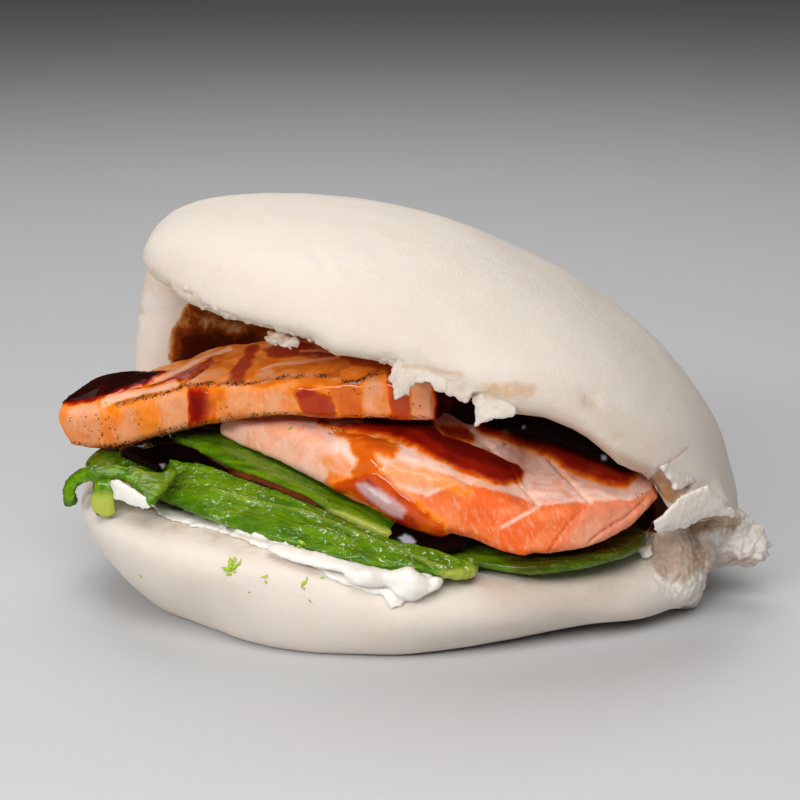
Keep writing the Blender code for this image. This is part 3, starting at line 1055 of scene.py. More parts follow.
@dataclass(frozen=True)
class SoftCream:
    """Soft white cream."""

    white: Colour = (0.90, 0.865, 0.81)
    shade: Colour = (0.87, 0.79, 0.68)

    def material(self) -> Material:
        """Builds the finish.

        Returns:
            The material.
        """
        graph = Graph("soft_cream")
        cloud = graph.cloud(1.6, 3.0)
        return graph.shade(
            Base_Color=graph.mixed(cloud.eased(0.45, 0.7) * 0.5, self.white, self.shade),
            Roughness=0.30,
            Coat_Weight=0.2,
            Coat_Roughness=0.15,
            Normal=graph.relief(graph.cloud(0.9, 3.0), 0.07),
            Subsurface_Weight=0.3,
            Subsurface_Radius=(1.0, 0.8, 0.6),
            Subsurface_Scale=1.2 * MM,
        )


@dataclass(frozen=True)
class LimeZest:
    """Grated lime peel."""

    peel: Colour = (0.36, 0.56, 0.008)
    pith: Colour = (0.62, 0.66, 0.12)

    def material(self) -> Material:
        """Builds the finish.

        Returns:
            The material.
        """
        graph = Graph("lime_zest")
        tone = graph.cloud(0.8, 3.0)
        return graph.shade(
            Base_Color=graph.mixed(tone.eased(0.42, 0.68), self.peel, self.pith),
            Roughness=0.45,
            Normal=graph.relief(graph.cloud(0.3, 3.0), 0.08),
            Subsurface_Weight=0.15,
            Subsurface_Scale=0.6 * MM,
        )


@dataclass(frozen=True)
class PaleFloor:
    """A plain pale floor."""

    tone: Colour = (0.60, 0.61, 0.63)

    def material(self) -> Material:
        """Builds the finish."""
        return Graph("pale_floor").shade(Base_Color=self.tone, Roughness=0.65)


# ---- sheets


@dataclass
class Sheet:
    """A thin sheet cut to an outline: a flap of skin, a shred of crumb, a smear or a pool.

    It lies either on a slanting plane or on the surfaces behind its outline.
    """

    name: str
    outline: Outline
    plane: Sequence[Triple] = ()  # three places: across, down and depth
    thick: float = 0.8
    bulge: float = 0.0  # how much further its middle stands out
    shore: float = 9.0  # the width over which it thickens from its edge
    step: float = 1.6  # from each vertex to the next
    ragged: float = 1.2  # how far its edge strays
    grain: float = 6.0  # the size of this raggedness, on the drawing
    voxel: float = 0.26 * MM
    rough: float = 0.0  # how uneven its surface is
    smoothing: int = 3
    levelled: bool = False  # whether it bridges what is uneven under it
    margin: float = 3.0  # how far its grid reaches past its outline
    gap: float = 0.05  # from what it lies on

    def level(self, drawn: Array, points: Array, found: Array) -> Array:
        """Bridges what is uneven under the sheet with one smooth surface just before it.

        Args:
            drawn: the sheet's places on the drawing.
            points: what lies behind each of them.
            found: where anything does.

        Returns:
            The sheet's points.
        """
        across, down = ((drawn - drawn.mean(axis=0)) / 40.0).T  # near 1 at the sheet's ends
        terms = (np.ones(len(across)), across, down, across * across, across * down, down * down)
        table = np.column_stack(terms)
        deep = points[:, 1] / MM
        weight = found.astype(float)
        for _ in range(6):  # each round counts what lies far off the surface less
            shape = np.linalg.lstsq(table * weight[:, None], deep * weight, rcond=None)[0]
            off = deep - table @ shape
            weight = found / (1.0 + (off / 0.8) ** 2)
        foremost = np.percentile(off[found], 6)
        depths = table @ shape - np.clip(-foremost, 0.0, 0.9)
        return np.array([SIGHT.at(*place, float(y)) for place, y in zip(drawn.tolist(), depths)])

    def laid(self, drawn: Array, tree: BVHTree | None) -> tuple[Array, Array, Array]:
        """Carries places of the drawing to where the sheet lies.

        Args:
            drawn: the places.
            tree: the surfaces under it, or None where it lies on its plane.

        Returns:
            The points, their normals, and whether each was found.
        """
        toward = -Vector(SIGHT.forward)
        if self.plane:
            anchors = np.array(self.plane, float)
            table = np.column_stack((anchors[:, :2], np.ones(len(anchors))))
            tilt = np.linalg.lstsq(table, anchors[:, 2], rcond=None)[0]
            points = [SIGHT.at(*place, float(tilt @ (*place, 1.0))) for place in drawn.tolist()]
            return np.array(points), np.array([toward] * len(drawn)), np.ones(len(drawn), bool)
        hits = [SIGHT.onto(*place, tree) for place in drawn.tolist()]
        found = np.array([hit is not None for hit in hits])
        points = np.array([hit[0] if hit else Vector((0, 0, 0)) for hit in hits])
        normals = np.array([hit[1] if hit else toward for hit in hits])
        if self.levelled:
            points = self.level(drawn, points, found)
            normals[:] = normals[found].mean(axis=0)
        return points, normals, found

    def build(self, tree: BVHTree | None = None) -> Piece:
        """Cuts, lays and thickens the sheet.

        Args:
            tree: the surfaces that it lies on, where it has no plane.

        Returns:
            The piece.
        """
        corners = np.array(self.outline, float)
        low, high = corners.min(axis=0) - self.margin, corners.max(axis=0) + self.margin
        counts = np.maximum(((high - low) / self.step).astype(int), 3)
        bpy.ops.object.select_all(action="DESELECT")
        bpy.ops.mesh.primitive_grid_add(
            x_subdivisions=int(counts[0]), y_subdivisions=int(counts[1]), size=2.0
        )
        piece = primitive(self.name)
        spots = places_of(piece)[:, :2]
        drawn = low + (spots * (1, -1) + 1) / 2 * (high - low)
        inside = depth_inside(drawn, self.outline)
        inside = inside + self.ragged * unevenness(drawn, self.grain, 4, len(self.outline))
        points, normals, found = self.laid(drawn, tree)
        share = np.clip(inside / self.shore, 0.0, 1.0)
        dome = np.sqrt(1.0 - (1.0 - share) ** 2)
        lift = (self.bulge * dome + self.gap) * MM
        put(piece, points + normals * lift[:, None])
        choose(piece, "VERT", ~((inside > 0) & found))
        with editing():
            bpy.ops.mesh.delete(type="VERT")
            bpy.ops.mesh.select_all(action="SELECT")
            bpy.ops.mesh.normals_make_consistent(inside=False)
        if not self.plane:
            smoothed(piece, self.smoothing)
        finished(piece, "SOLIDIFY", thickness=self.thick * MM, offset=0.0, use_even_offset=False)
        fine_skin(piece, self.voxel, self.smoothing)
        if self.rough:
            marks = Marks(piece)
            marks.swell(self.rough * (marks.rough(1.6, 3, 50) + 0.6 * marks.rough(0.6, 2, 51)))
        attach(piece, "root")
        return piece


# ---- the bun


@dataclass
class Bun:
    """The folded bun: a smooth skin that is torn open along its lip and at its right end."""

    voxel: float = 0.80 * MM
    smoothing: int = 14
    offset: Triple = (-2.128, -1.460, -0.350)  # of the lumps below, in millimetres
    # Centres and half sizes, in millimetres, of torn crumb and of lumps that are ironed out.
    end_lumps: Sequence[tuple[Triple, Triple]] = (
        ((47.0, -3.5, 9.2), (6.0, 4.5, 3.6)),
        ((52.6, -4.0, 10.0), (4.8, 4.0, 3.4)),
        ((56.2, -4.3, 9.0), (2.4, 3.2, 2.9)),
        ((54.8, -4.2, 11.8), (2.3, 2.6, 2.0)),
        ((41.5, -13.5, 12.6), (3.6, 4.0, 4.4)),
        ((45.2, -10.5, 10.0), (4.2, 4.5, 4.6)),
        ((43.0, -14.0, 7.4), (4.4, 4.6, 4.2)),
        ((45.8, -7.0, 4.4), (2.6, 5.5, 3.6)),
    )
    ironed_lumps: Sequence[tuple[Triple, Triple]] = (
        ((1.6, -31.4, 43.6), (3.0, 1.8, 2.6)),
        ((-0.4, -31.4, 41.6), (1.6, 1.5, 2.0)),
        ((7.0, -31.2, 43.2), (4.4, 1.8, 2.2)),
        ((14.0, -31.0, 39.4), (2.6, 1.8, 2.8)),
        ((12.5, -31.0, 37.7), (1.4, 1.3, 1.6)),
        ((44.3, -20.2, 20.2), (7.0, 1.8, 2.6)),
        ((49.2, -18.0, 20.6), (4.0, 1.7, 2.8)),
        ((40.6, -22.3, 24.0), (2.8, 1.6, 2.0)),
    )
    # Drawn lines of the lid, its lip and the foot, and how far each sinks or comes forward.
    top_line: Outline = (
        (130, 300), (140, 290), (180, 204), (220, 192), (260, 188), (300, 190), (340, 194),
        (380, 204), (420, 215), (460, 229), (500, 246), (540, 264), (580, 284), (620, 309),
        (660, 342), (700, 393), (730, 470),
    )
    top_drop: Outline = (
        (140, 1.0), (180, 5.5), (260, 6.0), (300, 4.5), (340, 1.5), (380, -1.5), (420, -4.5),
        (460, -6.5), (500, -6.0), (540, -5.5), (580, -3.5), (620, -1.0), (660, 1.0), (700, 0.0),
    )
    end_drop: Outline = ((560, 0.0), (600, -1.0), (630, 3.0), (660, 9.0), (690, 4.0), (704, 0.0))
    lip_line: Outline = ((190, 298), (292, 335), (388, 370), (484, 405), (580, 442), (652, 476))
    lip_drop: Outline = (
        (190, 8.0), (225, 7.5), (244, 5.5), (268, 3.0), (292, 0.0), (316, -2.0), (334, 5.0),
        (352, 1.0), (376, -3.0), (392, -6.0), (405, -3.0), (420, -9.0), (434, -4.0), (448, 0.0),
        (510, 0.0), (526, -4.0), (544, -9.0), (572, -9.0), (588, -6.0), (602, 0.0), (618, 7.0),
        (640, 4.0), (652, 0.0),
    )
    foot_line: Outline = (
        (150, 0.0), (190, 2.0), (260, -2.4), (340, -2.6), (380, -2.8), (420, -2.2), (460, -0.6),
        (500, 0.8), (540, 2.4), (580, 2.4), (620, 0.0),
    )
    foremost: float = -40.6 * MM
    # What is torn, rough, hollow, soaked or stained, and where shade is painted.
    end_tear: Touch = Touch(
        ((650, 536), (668, 530), (700, 522), (738, 512), (770, 515), (775, 545), (760, 575),
         (701, 577), (692, 584), (672, 584), (656, 576), (648, 562)),
        1.0, 4.0,
    )
    below_tear: Outline = ((600, 578), (680, 580), (712, 600), (690, 630), (600, 630))
    end_grain: Outline = (
        (648, 560), (700, 560), (706, 590), (699, 602), (684, 606), (668, 596), (655, 588),
    )
    lip: Outline = (
        (185, 288), (203, 306), (247, 323), (280, 331), (315, 340), (345, 360), (399, 362),
    )
    right_lip: Outline = ((560, 434), (584, 442), (600, 452), (612, 464), (630, 470), (652, 476))
    right_lip_foot: Outline = (
        (500, 414), (522, 416), (545, 421), (565, 427), (585, 437), (605, 450), (625, 461),
        (645, 469),
    )
    crack: Outline = ((656, 472), (666, 464), (676, 458), (689, 447))
    hollow: Outline = (
        (650, 476), (660, 468), (668, 464), (670, 478), (678, 483), (690, 487), (680, 494),
        (674, 506), (662, 518), (654, 524), (646, 520), (648, 500),
    )
    under_flap: Outline = (
        (686, 526), (698, 519), (710, 514), (736, 514), (741, 520), (734, 527), (712, 530),
        (690, 532),
    )
    dimples: Touch = Touch(((312, 252), (322, 262), (328, 276)), 0.25, 12.0, width=9.0)
    crease: Touch = Touch(((238, 207), (256, 212), (272, 229)), 0.15, 9.0, width=5.0)
    fold: Touch = Touch(((134, 311), (150, 313), (166, 314)), 0.6, 3.0, width=2.5)
    dent: Touch = Touch(((582, 392), (598, 394), (600, 410), (584, 408)), 0.30, 12.0, 0.0)
    corner: Touch = Touch(((140, 290), (180, 291), (184, 310), (140, 309)), 0.7, 5.0)
    wet_left: Touch = Touch(
        ((173, 330), (184, 306), (192, 294), (262, 318), (340, 350), (340, 368), (168, 376),
         (171, 344)),
        0.58, 9.0, 5.0, 2.5,
    )
    wet_core: Touch = Touch(
        ((182, 332), (200, 328), (236, 336), (262, 334), (262, 376), (178, 376)),
        0.42, 16.0, 4.0, 2.0,
    )
    dry_spots: Sequence[Touch] = (
        Touch(((196, 316), (214, 320), (216, 332), (200, 332)), 0.4, 9.0, 3.0, 1.0),
        Touch(((220, 320), (238, 322), (240, 334), (224, 334)), 0.4, 9.0, 3.0, 1.0),
    )
    # sauce soaked into the inner wall behind the right lip, painted darkest there to stand for its
    # shade as well
    wet_and_shade_right: Touch = Touch(
        ((410, 372), (480, 380), (560, 415), (640, 462), (654, 500), (656, 532), (430, 470)),
        1.0, 6.0, 3.0, 2.0,
    )
    wet_tear: Sequence[Touch] = (
        Touch(((650, 486), (666, 482), (678, 492), (664, 514), (650, 520)), 0.28, 10.0, 0.0),
        Touch(((646, 504), (656, 504), (659, 520), (652, 534), (646, 530)), 0.42, 5.0, 0.0),
    )
    # painted shade in warm brown: along the foot of the right lip, on the lid's lower left, on the
    # base under the filling, along the lip, on the torn end, in the hollow, under the arm and under
    # the flap
    painted_shading: Sequence[Touch] = (
        Touch(right_lip_foot, 0.62, 14.0, width=15.0),
        Touch(right_lip_foot, 0.30, 42.0, width=72.0),
        Touch(((190, 275), (300, 312), (420, 350)), 0.16, 60.0, width=72.0),
        Touch(((500, 586), (560, 592), (600, 588)), 0.38, 34.0, width=40.0),
        Touch(lip, 0.30, 10.0, width=10.0),
        Touch(
            ((654, 532), (690, 532), (702, 545), (700, 572), (684, 584), (656, 574), (648, 556)),
            0.74, 12.0,
        ),
        Touch(((690, 540), (706, 540), (712, 556), (698, 572), (688, 560)), 0.95, 12.0),
        Touch(
            ((648, 478), (660, 470), (668, 474), (676, 489), (690, 488), (676, 504), (662, 516),
             (650, 520)),
            0.95, 8.0,
        ),
        Touch(((706, 552), (762, 558), (758, 572), (702, 572)), 0.50, 8.0),
        Touch(((690, 516), (736, 516), (734, 530), (690, 534)), 0.75, 8.0),
    )
    tan_marks: Sequence[Touch] = (
        Touch(((482, 386), (510, 382), (534, 386), (534, 395), (500, 398), (484, 398)), 0.90),
        Touch(((582, 400), (594, 399), (596, 404), (584, 406)), 0.40),
        Touch(((606, 437), (622, 432), (624, 437), (612, 442)), 0.40),
        Touch(((140, 262), (182, 285), (178, 296), (136, 292)), 0.35),
        # painted shade: tan in the hollow, under the flap and on the torn face below it
        Touch(hollow, 0.60),
        Touch(under_flap, 0.60),
        Touch(
            ((650, 540), (668, 536), (690, 545), (697, 560), (694, 576), (660, 574), (650, 560)),
            0.20,
        ),
        Touch(((403, 366), (430, 369), (461, 376)), 0.9, 5.0, width=4.5),
        Touch(lip, 0.40, 6.0, width=5.0),
        Touch(right_lip_foot, 0.42, 14.0, width=8.0),
        Touch(crack, 0.45, 3.0, width=2.0),
        Touch(((136, 311), (165, 313)), 0.5, 3.0, width=2.5),
    )
    left_rim: Touch = Touch(
        ((120, 500), (170, 518), (240, 540), (300, 556), (340, 570)), 0.55, 16.0, width=26.0
    )
    right_rim: Touch = Touch(((480, 583), (560, 583), (640, 568)), 0.35, 10.0, width=10.0)

    def near(self, marks: Marks, lumps: Sequence, inner: float, outer: float) -> Array:
        """How near each vertex lies to some lumps.

        Args:
            marks: the bun's marks.
            lumps: centres and half sizes, in millimetres.
            inner: within this many half sizes it is 1.
            outer: beyond this many it is 0.

        Returns:
            Values from 0 to 1.
        """
        best = np.zeros(len(marks.points))
        for centre, half in lumps:
            middle = (np.array(centre) + np.array(self.offset)) * MM
            reach = np.linalg.norm((marks.points - middle) / (np.array(half) * MM), axis=1)
            best = np.maximum(best, 1.0 - smooth_step(reach, inner, outer))
        return best

    def settle(self, piece: Piece) -> None:
        """Lets the lid sink and rise a little, and shifts the foot, to their drawn outline.

        Args:
            piece: the bun.
        """
        marks = Marks(piece)
        across, down = marks.drawn.T
        depth = marks.points[:, 1] / MM
        below_top = down - along_table(across, self.top_line)
        amounts = along_table(across, self.top_drop) * (1.0 - smooth_step(below_top, 8.0, 85.0))
        end = along_table(across, self.end_drop) * smooth_step(down, 545.0, 600.0)
        amounts += end * (depth > -34.0)
        below_lip = down - along_table(across, self.lip_line)
        near = smooth_step(below_lip, -45.0, -6.0) * (1.0 - smooth_step(below_lip, 25.0, 45.0))
        stops, drops = np.array(self.lip_drop).T
        amounts += np.interp(across, stops, drops) * near * (depth < -15.0)
        marks.lower(amounts)
        places = marks.points.copy()
        foot = along_table(across, self.foot_line)
        foot = foot * (1.0 - smooth_step(places[:, 2], 1.5 * MM, 13 * MM))
        foot = foot * (1.0 - smooth_step(places[:, 1], -22 * MM, -8 * MM))
        places[:, 1] = np.maximum(places[:, 1] + foot * MM, self.foremost)
        side = smooth_step(across, 700.0, 740.0) * smooth_step(down, 420.0, 470.0)
        places[:, 0] -= 0.65 * MM * side * (1.0 - smooth_step(down, 505.0, 525.0))
        put(piece, places)

    def torn(self, marks: Marks) -> Array:
        """Where the crumb of the right end is bare, from 0 to 1.

        Args:
            marks: the bun's marks.

        Returns:
            The values.
        """
        lumps = self.near(marks, self.end_lumps, 1.05, 1.32)
        lumps = lumps * (1.0 - marks.patch(self.below_tear, 8.0))
        return np.maximum(lumps, marks.touched(self.end_tear))

    def soaked(self, marks: Marks) -> Array:
        """Where sauce has soaked into the inside, from 0 to 1; behind the right lip it is painted
        darkest, as shade as well.

        Args:
            marks: the bun's marks.

        Returns:
            The values.
        """
        left = marks.touched(self.wet_left) + marks.touched(self.wet_core)
        for spot in self.dry_spots:
            left = left * (1.0 - marks.touched(spot))
        left = left * smooth_step(marks.points[:, 1], -10 * MM, 4 * MM)
        right = marks.touched(self.wet_and_shade_right) * smooth_step(marks.points[:, 1], -28 * MM, -24 * MM)
        return most_of(left, right, marks.most(self.wet_tear))

    def tanned(self, marks: Marks) -> Array:
        """Where the skin is stained tan, and where it is painted tan as shade in the hollow, under
        the flap and on the torn face, from 0 to 1.

        Args:
            marks: the bun's marks.

        Returns:
            The values.
        """
        left = marks.touched(self.left_rim) * marks.mottle(1.6, 3, 12, 0.12, 0.5)
        right = marks.touched(self.right_rim) * marks.mottle(1.8, 3, 14, -0.2, 0.5)
        return most_of(marks.most(self.tan_marks), left, right)

    def relief(self, marks: Marks, torn: Array, grain: Array) -> Array:
        """How far the skin stands out or lies low.

        Args:
            marks: the bun's marks.
            torn: where the crumb is bare.
            grain: where it is rough.

        Returns:
            The height at each vertex.
        """
        smooth = marks.rough(17.0, 2, 2) * 0.28 * (1.0 - torn) + marks.rough(6.0, 2, 3) * 0.06
        for dip in (self.dimples, self.crease, self.dent, self.fold):
            smooth -= marks.touched(dip)
        smooth -= marks.stroke(self.crack, 1.2, 1.6) * 0.22
        puffs = np.abs(marks.rough(5.5, 1, 4)) * 0.8 + np.abs(marks.rough(2.4, 1, 19)) * 0.30
        fluff = np.abs(marks.rough(1.1, 2, 9)) * 0.22 + marks.rough(1.0, 3, 11) * 0.30
        fluff += marks.rough(0.5, 1, 10) * 0.10
        tips = torn * smooth_step(marks.drawn[:, 0], 726.0, 742.0)
        points = marks.rough(1.9, 3, 23) * 0.55 + marks.rough(0.6, 1, 24) * 0.20
        left = marks.stroke(self.lip, 5.0, 4.0) * (marks.rough(1.2, 4, 6) * 0.62 - 0.05)
        right = marks.stroke(self.right_lip, 4.0, 4.0) * marks.rough(1.5, 4, 7) * 0.75
        crumb = torn * (puffs - 0.38) + grain * (fluff - 0.05)
        return smooth + crumb + tips * points + left + right

    def build(self) -> Piece:
        """Models and dresses the bun.

        Returns:
            The piece.
        """
        piece = copy_of_solid("bun", "steamed_bun")
        fine_skin(piece, self.voxel, self.smoothing)
        ironed(piece, self.near(Marks(piece), self.ironed_lumps, 1.35, 1.9), 90)
        self.settle(piece)
        marks = Marks(piece)
        near_tear = self.torn(marks) + marks.patch(self.end_grain, 10.0) > 0.02
        near_lip = marks.stroke(self.lip, 9.0, 4.0) + marks.stroke(self.right_lip, 8.0, 4.0) > 0.1
        near_crack = marks.stroke(self.crack, 8.0, 4.0) + marks.patch(self.hollow, 14.0) > 0.1
        refine(piece, near_tear | near_lip | near_crack)
        marks = Marks(piece)
        hollow = marks.patch(self.hollow, 5.0, 1.5) * 2.6
        marks.push(hollow + marks.patch(self.under_flap, 6.0, 1.0) * 1.6)
        marks = Marks(piece)
        torn = self.torn(marks)
        grain = np.maximum(torn, 0.55 * marks.patch(self.end_grain, 12.0, 4.0))
        marks.swell(self.relief(marks, torn, grain))
        places = marks.points.copy()
        places[:, 2] = np.maximum(places[:, 2], 0.0)
        put(piece, places)
        lips = marks.strokes(((self.lip, 5.0), (self.right_lip, 4.0)), 4.0) * 0.8
        marks.keep(
            crumb=most_of(grain, lips, marks.touched(self.corner)),
            soak=self.soaked(marks), tan=self.tanned(marks), warm=marks.most(self.painted_shading),
        )
        dress(piece, SteamedDough().material())
        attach(piece, "root")
        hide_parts("bun")
        return piece


@dataclass(frozen=True)
class Shred:
    """A bit of torn dough, and what is marked on it."""

    sheet: Sheet
    # how much painted shade darkens the bit
    painted_shading: float
    crumb: float = 0.35  # in its middle
    rim: float = 0.65  # how much more at its rim
    soak: float = 0.0
    tan_marks: Sequence[Touch] = ()

    def build(self, material: Material) -> Piece:
        """Models and dresses the bit.

        Args:
            material: the dough's finish.

        Returns:
            The piece.
        """
        piece = self.sheet.build()
        marks = Marks(piece)
        rim = 1.0 - smooth_step(depth_inside(marks.drawn, self.sheet.outline), 2.0, 9.0)
        marks.keep(
            crumb=self.crumb + self.rim * rim,
            soak=np.full(len(rim), self.soak),
            tan=marks.most(self.tan_marks),
            warm=self.painted_shading * (0.45 + 0.55 * marks.mottle(2.4, 3, 60, -0.7, 0.8)),
        )
        dress(piece, material)
        return piece


@dataclass
class TornBits:
    """Crumb that hangs from the lip, and thin skin that stands off at the tear."""

    shreds: Sequence[Shred] = (
        Shred(
            Sheet(
                "lip_crumb_left",
                ((399, 358), (420, 358), (445, 362), (470, 369), (488, 380), (482, 393), (478, 391),
                 (471, 394), (468, 402), (460, 400), (451, 394), (437, 390), (430, 383), (417, 381),
                 (411, 386), (409, 396), (404, 393), (396, 399), (394, 385), (388, 379),
                 (392, 374)),
                plane=((400, 362, -32.9), (480, 374, -33.5), (430, 388, -33.85)),
                thick=1.7, bulge=0.15, shore=6.0, step=0.8, ragged=2.8, grain=3.0, rough=0.16,
                voxel=0.19 * MM, smoothing=2,
            ),
            painted_shading=0.55,
            tan_marks=(Touch(((403, 366), (430, 369), (461, 376)), 0.7, 3.5, width=3.5),),
        ),
        Shred(
            Sheet(
                "lip_crumb_right",
                ((471, 396), (475, 404), (477, 413), (473, 426), (484, 421), (496, 418), (512, 416),
                 (516, 408), (506, 398), (498, 390), (486, 386), (481, 393)),
                plane=((475, 410, -33.7), (508, 402, -34.05), (486, 386, -33.8)),
                thick=1.3, bulge=0.2, shore=6.0, step=0.8, ragged=2.4, grain=3.0, rough=0.14,
                voxel=0.19 * MM, smoothing=2,
            ),
            painted_shading=0.30,
            tan_marks=(
                Touch(((480, 384), (520, 384), (520, 396), (484, 399)), 0.9, 6.0),
                Touch(((482, 390), (474, 400)), 0.9, 4.0, width=4.0),
            ),
        ),
        Shred(
            Sheet(
                "tear_flap",
                ((653, 522), (661, 518), (664, 514), (672, 505), (678, 498), (681, 495), (687, 492),
                 (694, 491), (698, 488), (704, 487), (708, 486), (713, 490), (720, 497), (724, 505),
                 (729, 508), (735, 512), (736, 515), (726, 516), (718, 514), (710, 516), (703, 517),
                 (699, 520), (694, 522), (685, 527), (674, 529), (666, 530), (658, 532),
                 (654, 527)),
                plane=((653, 523, -27.0), (700, 488, -24.4), (737, 514, -18.2)),
                thick=0.7, bulge=0.9, shore=14.0, step=0.8, ragged=2.2, grain=2.6, rough=0.06,
                voxel=0.19 * MM, smoothing=2,
            ),
            painted_shading=0.0, crumb=0.1, rim=0.5,
        ),
        Shred(
            Sheet(
                "tear_bit",
                ((660, 467), (668, 461), (688, 462), (697, 472), (695, 480), (689, 484), (683, 486),
                 (678, 490), (672, 489), (674, 483), (668, 480), (666, 473)),
                plane=((662, 462, -27.4), (692, 474, -23.0), (677, 489, -25.8)),
                thick=1.0, bulge=0.2, shore=6.0, step=0.8, ragged=1.3, grain=3.4, rough=0.10,
                voxel=0.19 * MM, smoothing=1,
            ),
            painted_shading=0.15,
        ),
        Shred(
            Sheet(
                "inner_crumb",
                ((264, 340), (270, 334), (282, 335), (296, 340), (299, 346), (284, 347),
                 (273, 345)),
                plane=((252, 340, -20.0), (297, 341, -24.5), (270, 332, -20.0)),
                thick=1.2, bulge=0.3, shore=5.0, step=0.8, ragged=3.2, grain=4.0, rough=0.34,
                voxel=0.20 * MM, smoothing=1,
            ),
            painted_shading=0.50, crumb=1.0, rim=0.0, soak=0.22,
        ),
    )

    def build(self) -> list[Piece]:
        """Models and dresses every bit, in the bun's own finish."""
        material = bpy.data.materials["steamed_dough"]
        return [shred.build(material) for shred in self.shreds]


# ---- the salmon


@dataclass
class UpperSlice:
    """The upper slice: glazed amber over its top, barred with sauce and charred along its edges."""

    voxel: float = 0.34 * MM
    tip_drop: Outline = ((55, 7.0), (100, 5.5), (150, 2.0), (190, 0.0))
    pool: Outline = (
        (59, 408), (61, 399), (66, 390), (74, 383), (86, 377), (100, 372), (112, 370), (125, 372),
        (150, 373), (174, 372), (166, 377), (155, 383), (140, 387), (124, 392), (110, 398),
        (98, 401), (80, 404), (68, 407),
    )
    bars: Outlines = (
        (((188, 388), (200, 385), (208, 388), (209, 400), (206, 427), (200, 431),
          (189, 431)), 0.52),
        (((188, 388), (214, 386), (228, 390), (226, 404), (218, 428), (190, 431)), 0.33),
        (((294, 392), (305, 387), (330, 396), (336, 404), (341, 421), (318, 422), (303, 415),
          (297, 404)), 0.59),
        (((318, 380), (362, 378), (364, 402), (366, 421), (340, 421), (334, 400)), 0.37),
        (((386, 368), (399, 364), (412, 378), (412, 426), (388, 426), (388, 400)), 0.52),
        (((128, 391), (150, 385), (170, 377), (190, 367), (212, 357), (214, 364), (200, 373),
          (186, 380), (176, 386), (150, 392), (134, 396)), 0.60),
        (((226, 382), (234, 366), (248, 344), (262, 342), (252, 366), (242, 384)), 0.56),
        (((200, 356), (224, 347), (232, 350), (222, 366), (210, 366)), 0.36),
        (((262, 350), (290, 338), (330, 349), (350, 359), (335, 361), (300, 357),
          (270, 360)), 0.58),
        (((330, 352), (399, 362), (400, 372), (376, 372), (352, 368)), 0.48),
        (((104, 408), (114, 401), (122, 410), (120, 424), (112, 420)), 0.30),
        (((136, 412), (150, 404), (160, 412), (156, 434), (146, 440), (138, 430)), 0.26),
        (((432, 380), (470, 380), (470, 430), (433, 430)), 0.95),
        (((396, 414), (432, 422), (432, 432), (330, 428), (330, 421)), 0.60),
    )
    cores: Outlines = (
        (((184, 386), (204, 384), (212, 400), (206, 424), (184, 432)), 0.72),
        (((290, 388), (312, 386), (326, 402), (328, 424), (304, 420)), 0.56),
    )
    bare: Outlines = (
        (((184, 385), (192, 377), (206, 370), (222, 369), (228, 372), (215, 378), (200, 384)), 1.0),
        (((366, 380), (372, 372), (377, 377), (384, 392), (388, 406), (388, 422), (366, 421),
          (363, 404)), 1.0),
        (((411, 386), (418, 379), (431, 382), (433, 398), (433, 424), (412, 424)), 1.0),
        (((264, 396), (272, 391), (285, 392), (293, 398), (297, 406), (301, 415), (290, 417),
          (268, 413)), 0.9),
        (((58, 408), (98, 403), (100, 418), (98, 440), (84, 454), (68, 436)), 0.85),
        (((160, 396), (186, 391), (187, 428), (162, 434)), 0.8),
        (((217, 402), (262, 392), (264, 412), (218, 425)), 0.55),
        (((120, 410), (134, 408), (136, 440), (120, 444)), 0.5),
    )
    stripes: Outlines = (
        (((104, 403), (125, 396), (150, 391), (176, 384)), 6.0),
        (((156, 382), (178, 371), (204, 358), (230, 349)), 4.0),
        (((178, 357), (204, 349), (232, 342), (262, 339)), 4.0),
        (((262, 369), (280, 365), (310, 361), (339, 358)), 2.4),
        (((300, 352), (320, 351), (336, 354)), 1.8),
        (((268, 378), (296, 376), (324, 376)), 1.6),
    )
    top_edge: Outline = (
        (118, 405), (132, 400), (146, 397), (160, 394), (174, 390), (186, 386), (205, 384),
        (230, 384), (251, 383), (271, 379), (300, 377), (327, 376), (337, 377), (345, 382),
        (358, 382), (367, 376), (378, 372),
    )
    crease: Outline = ((170, 391), (188, 380), (208, 366))
    bottom_edge: Outline = ((80, 453), (125, 446), (190, 432), (230, 427), (273, 420), (300, 420))
    flake_ends: Sequence[int] = (160, 187, 218, 263, 297, 364, 386, 412)

    def glaze(self, marks: Marks, upward: Array, bare: Array) -> Array:
        """How thick the sauce lies.

        Args:
            marks: the slice's marks.
            upward: what faces up.
            bare: where the sauce is wiped off.

        Returns:
            Values from 0 to 1.
        """
        sauce = most_of(
            0.30 * upward * marks.mottle(3.0, 4, 5, -0.9, 0.2),
            0.22 * marks.mottle(6.0, 3, 8, -0.1, 0.5),
            marks.patch(self.pool, 6.0, 1.5),
            marks.patches(self.bars, 7.0, 2.6),
            marks.patches(self.cores, 22.0, 3.0) * (marks.drawn[:, 0] > 188),
        )
        return sauce * (1.0 - 0.94 * bare)

    def charred(self, marks: Marks, upward: Array, sauce: Array) -> Array:
        """How charred the slice is, mostly along its edges.

        Args:
            marks: the slice's marks.
            upward: what faces up.
            sauce: how thick the sauce lies, which hides the char.

        Returns:
            Values from 0 to 1.
        """
        uneven = 0.38 + 0.70 * marks.mottle(2.5, 3, 23, -0.5, 0.3)
        front = (1.0 - upward) * marks.facing
        char = most_of(
            marks.stroke(self.top_edge, 4.4, 5.0) * uneven,
            marks.stroke(self.bottom_edge, 9.0, 9.0),
            front * 0.24 * marks.mottle(3.5, 3, 21, -0.2, 0.4),
            0.45 * smooth_step(-marks.normals[:, 2], 0.2, 0.6),
        )
        return char * (1.0 - 0.8 * smooth_step(sauce, 0.5, 0.7))

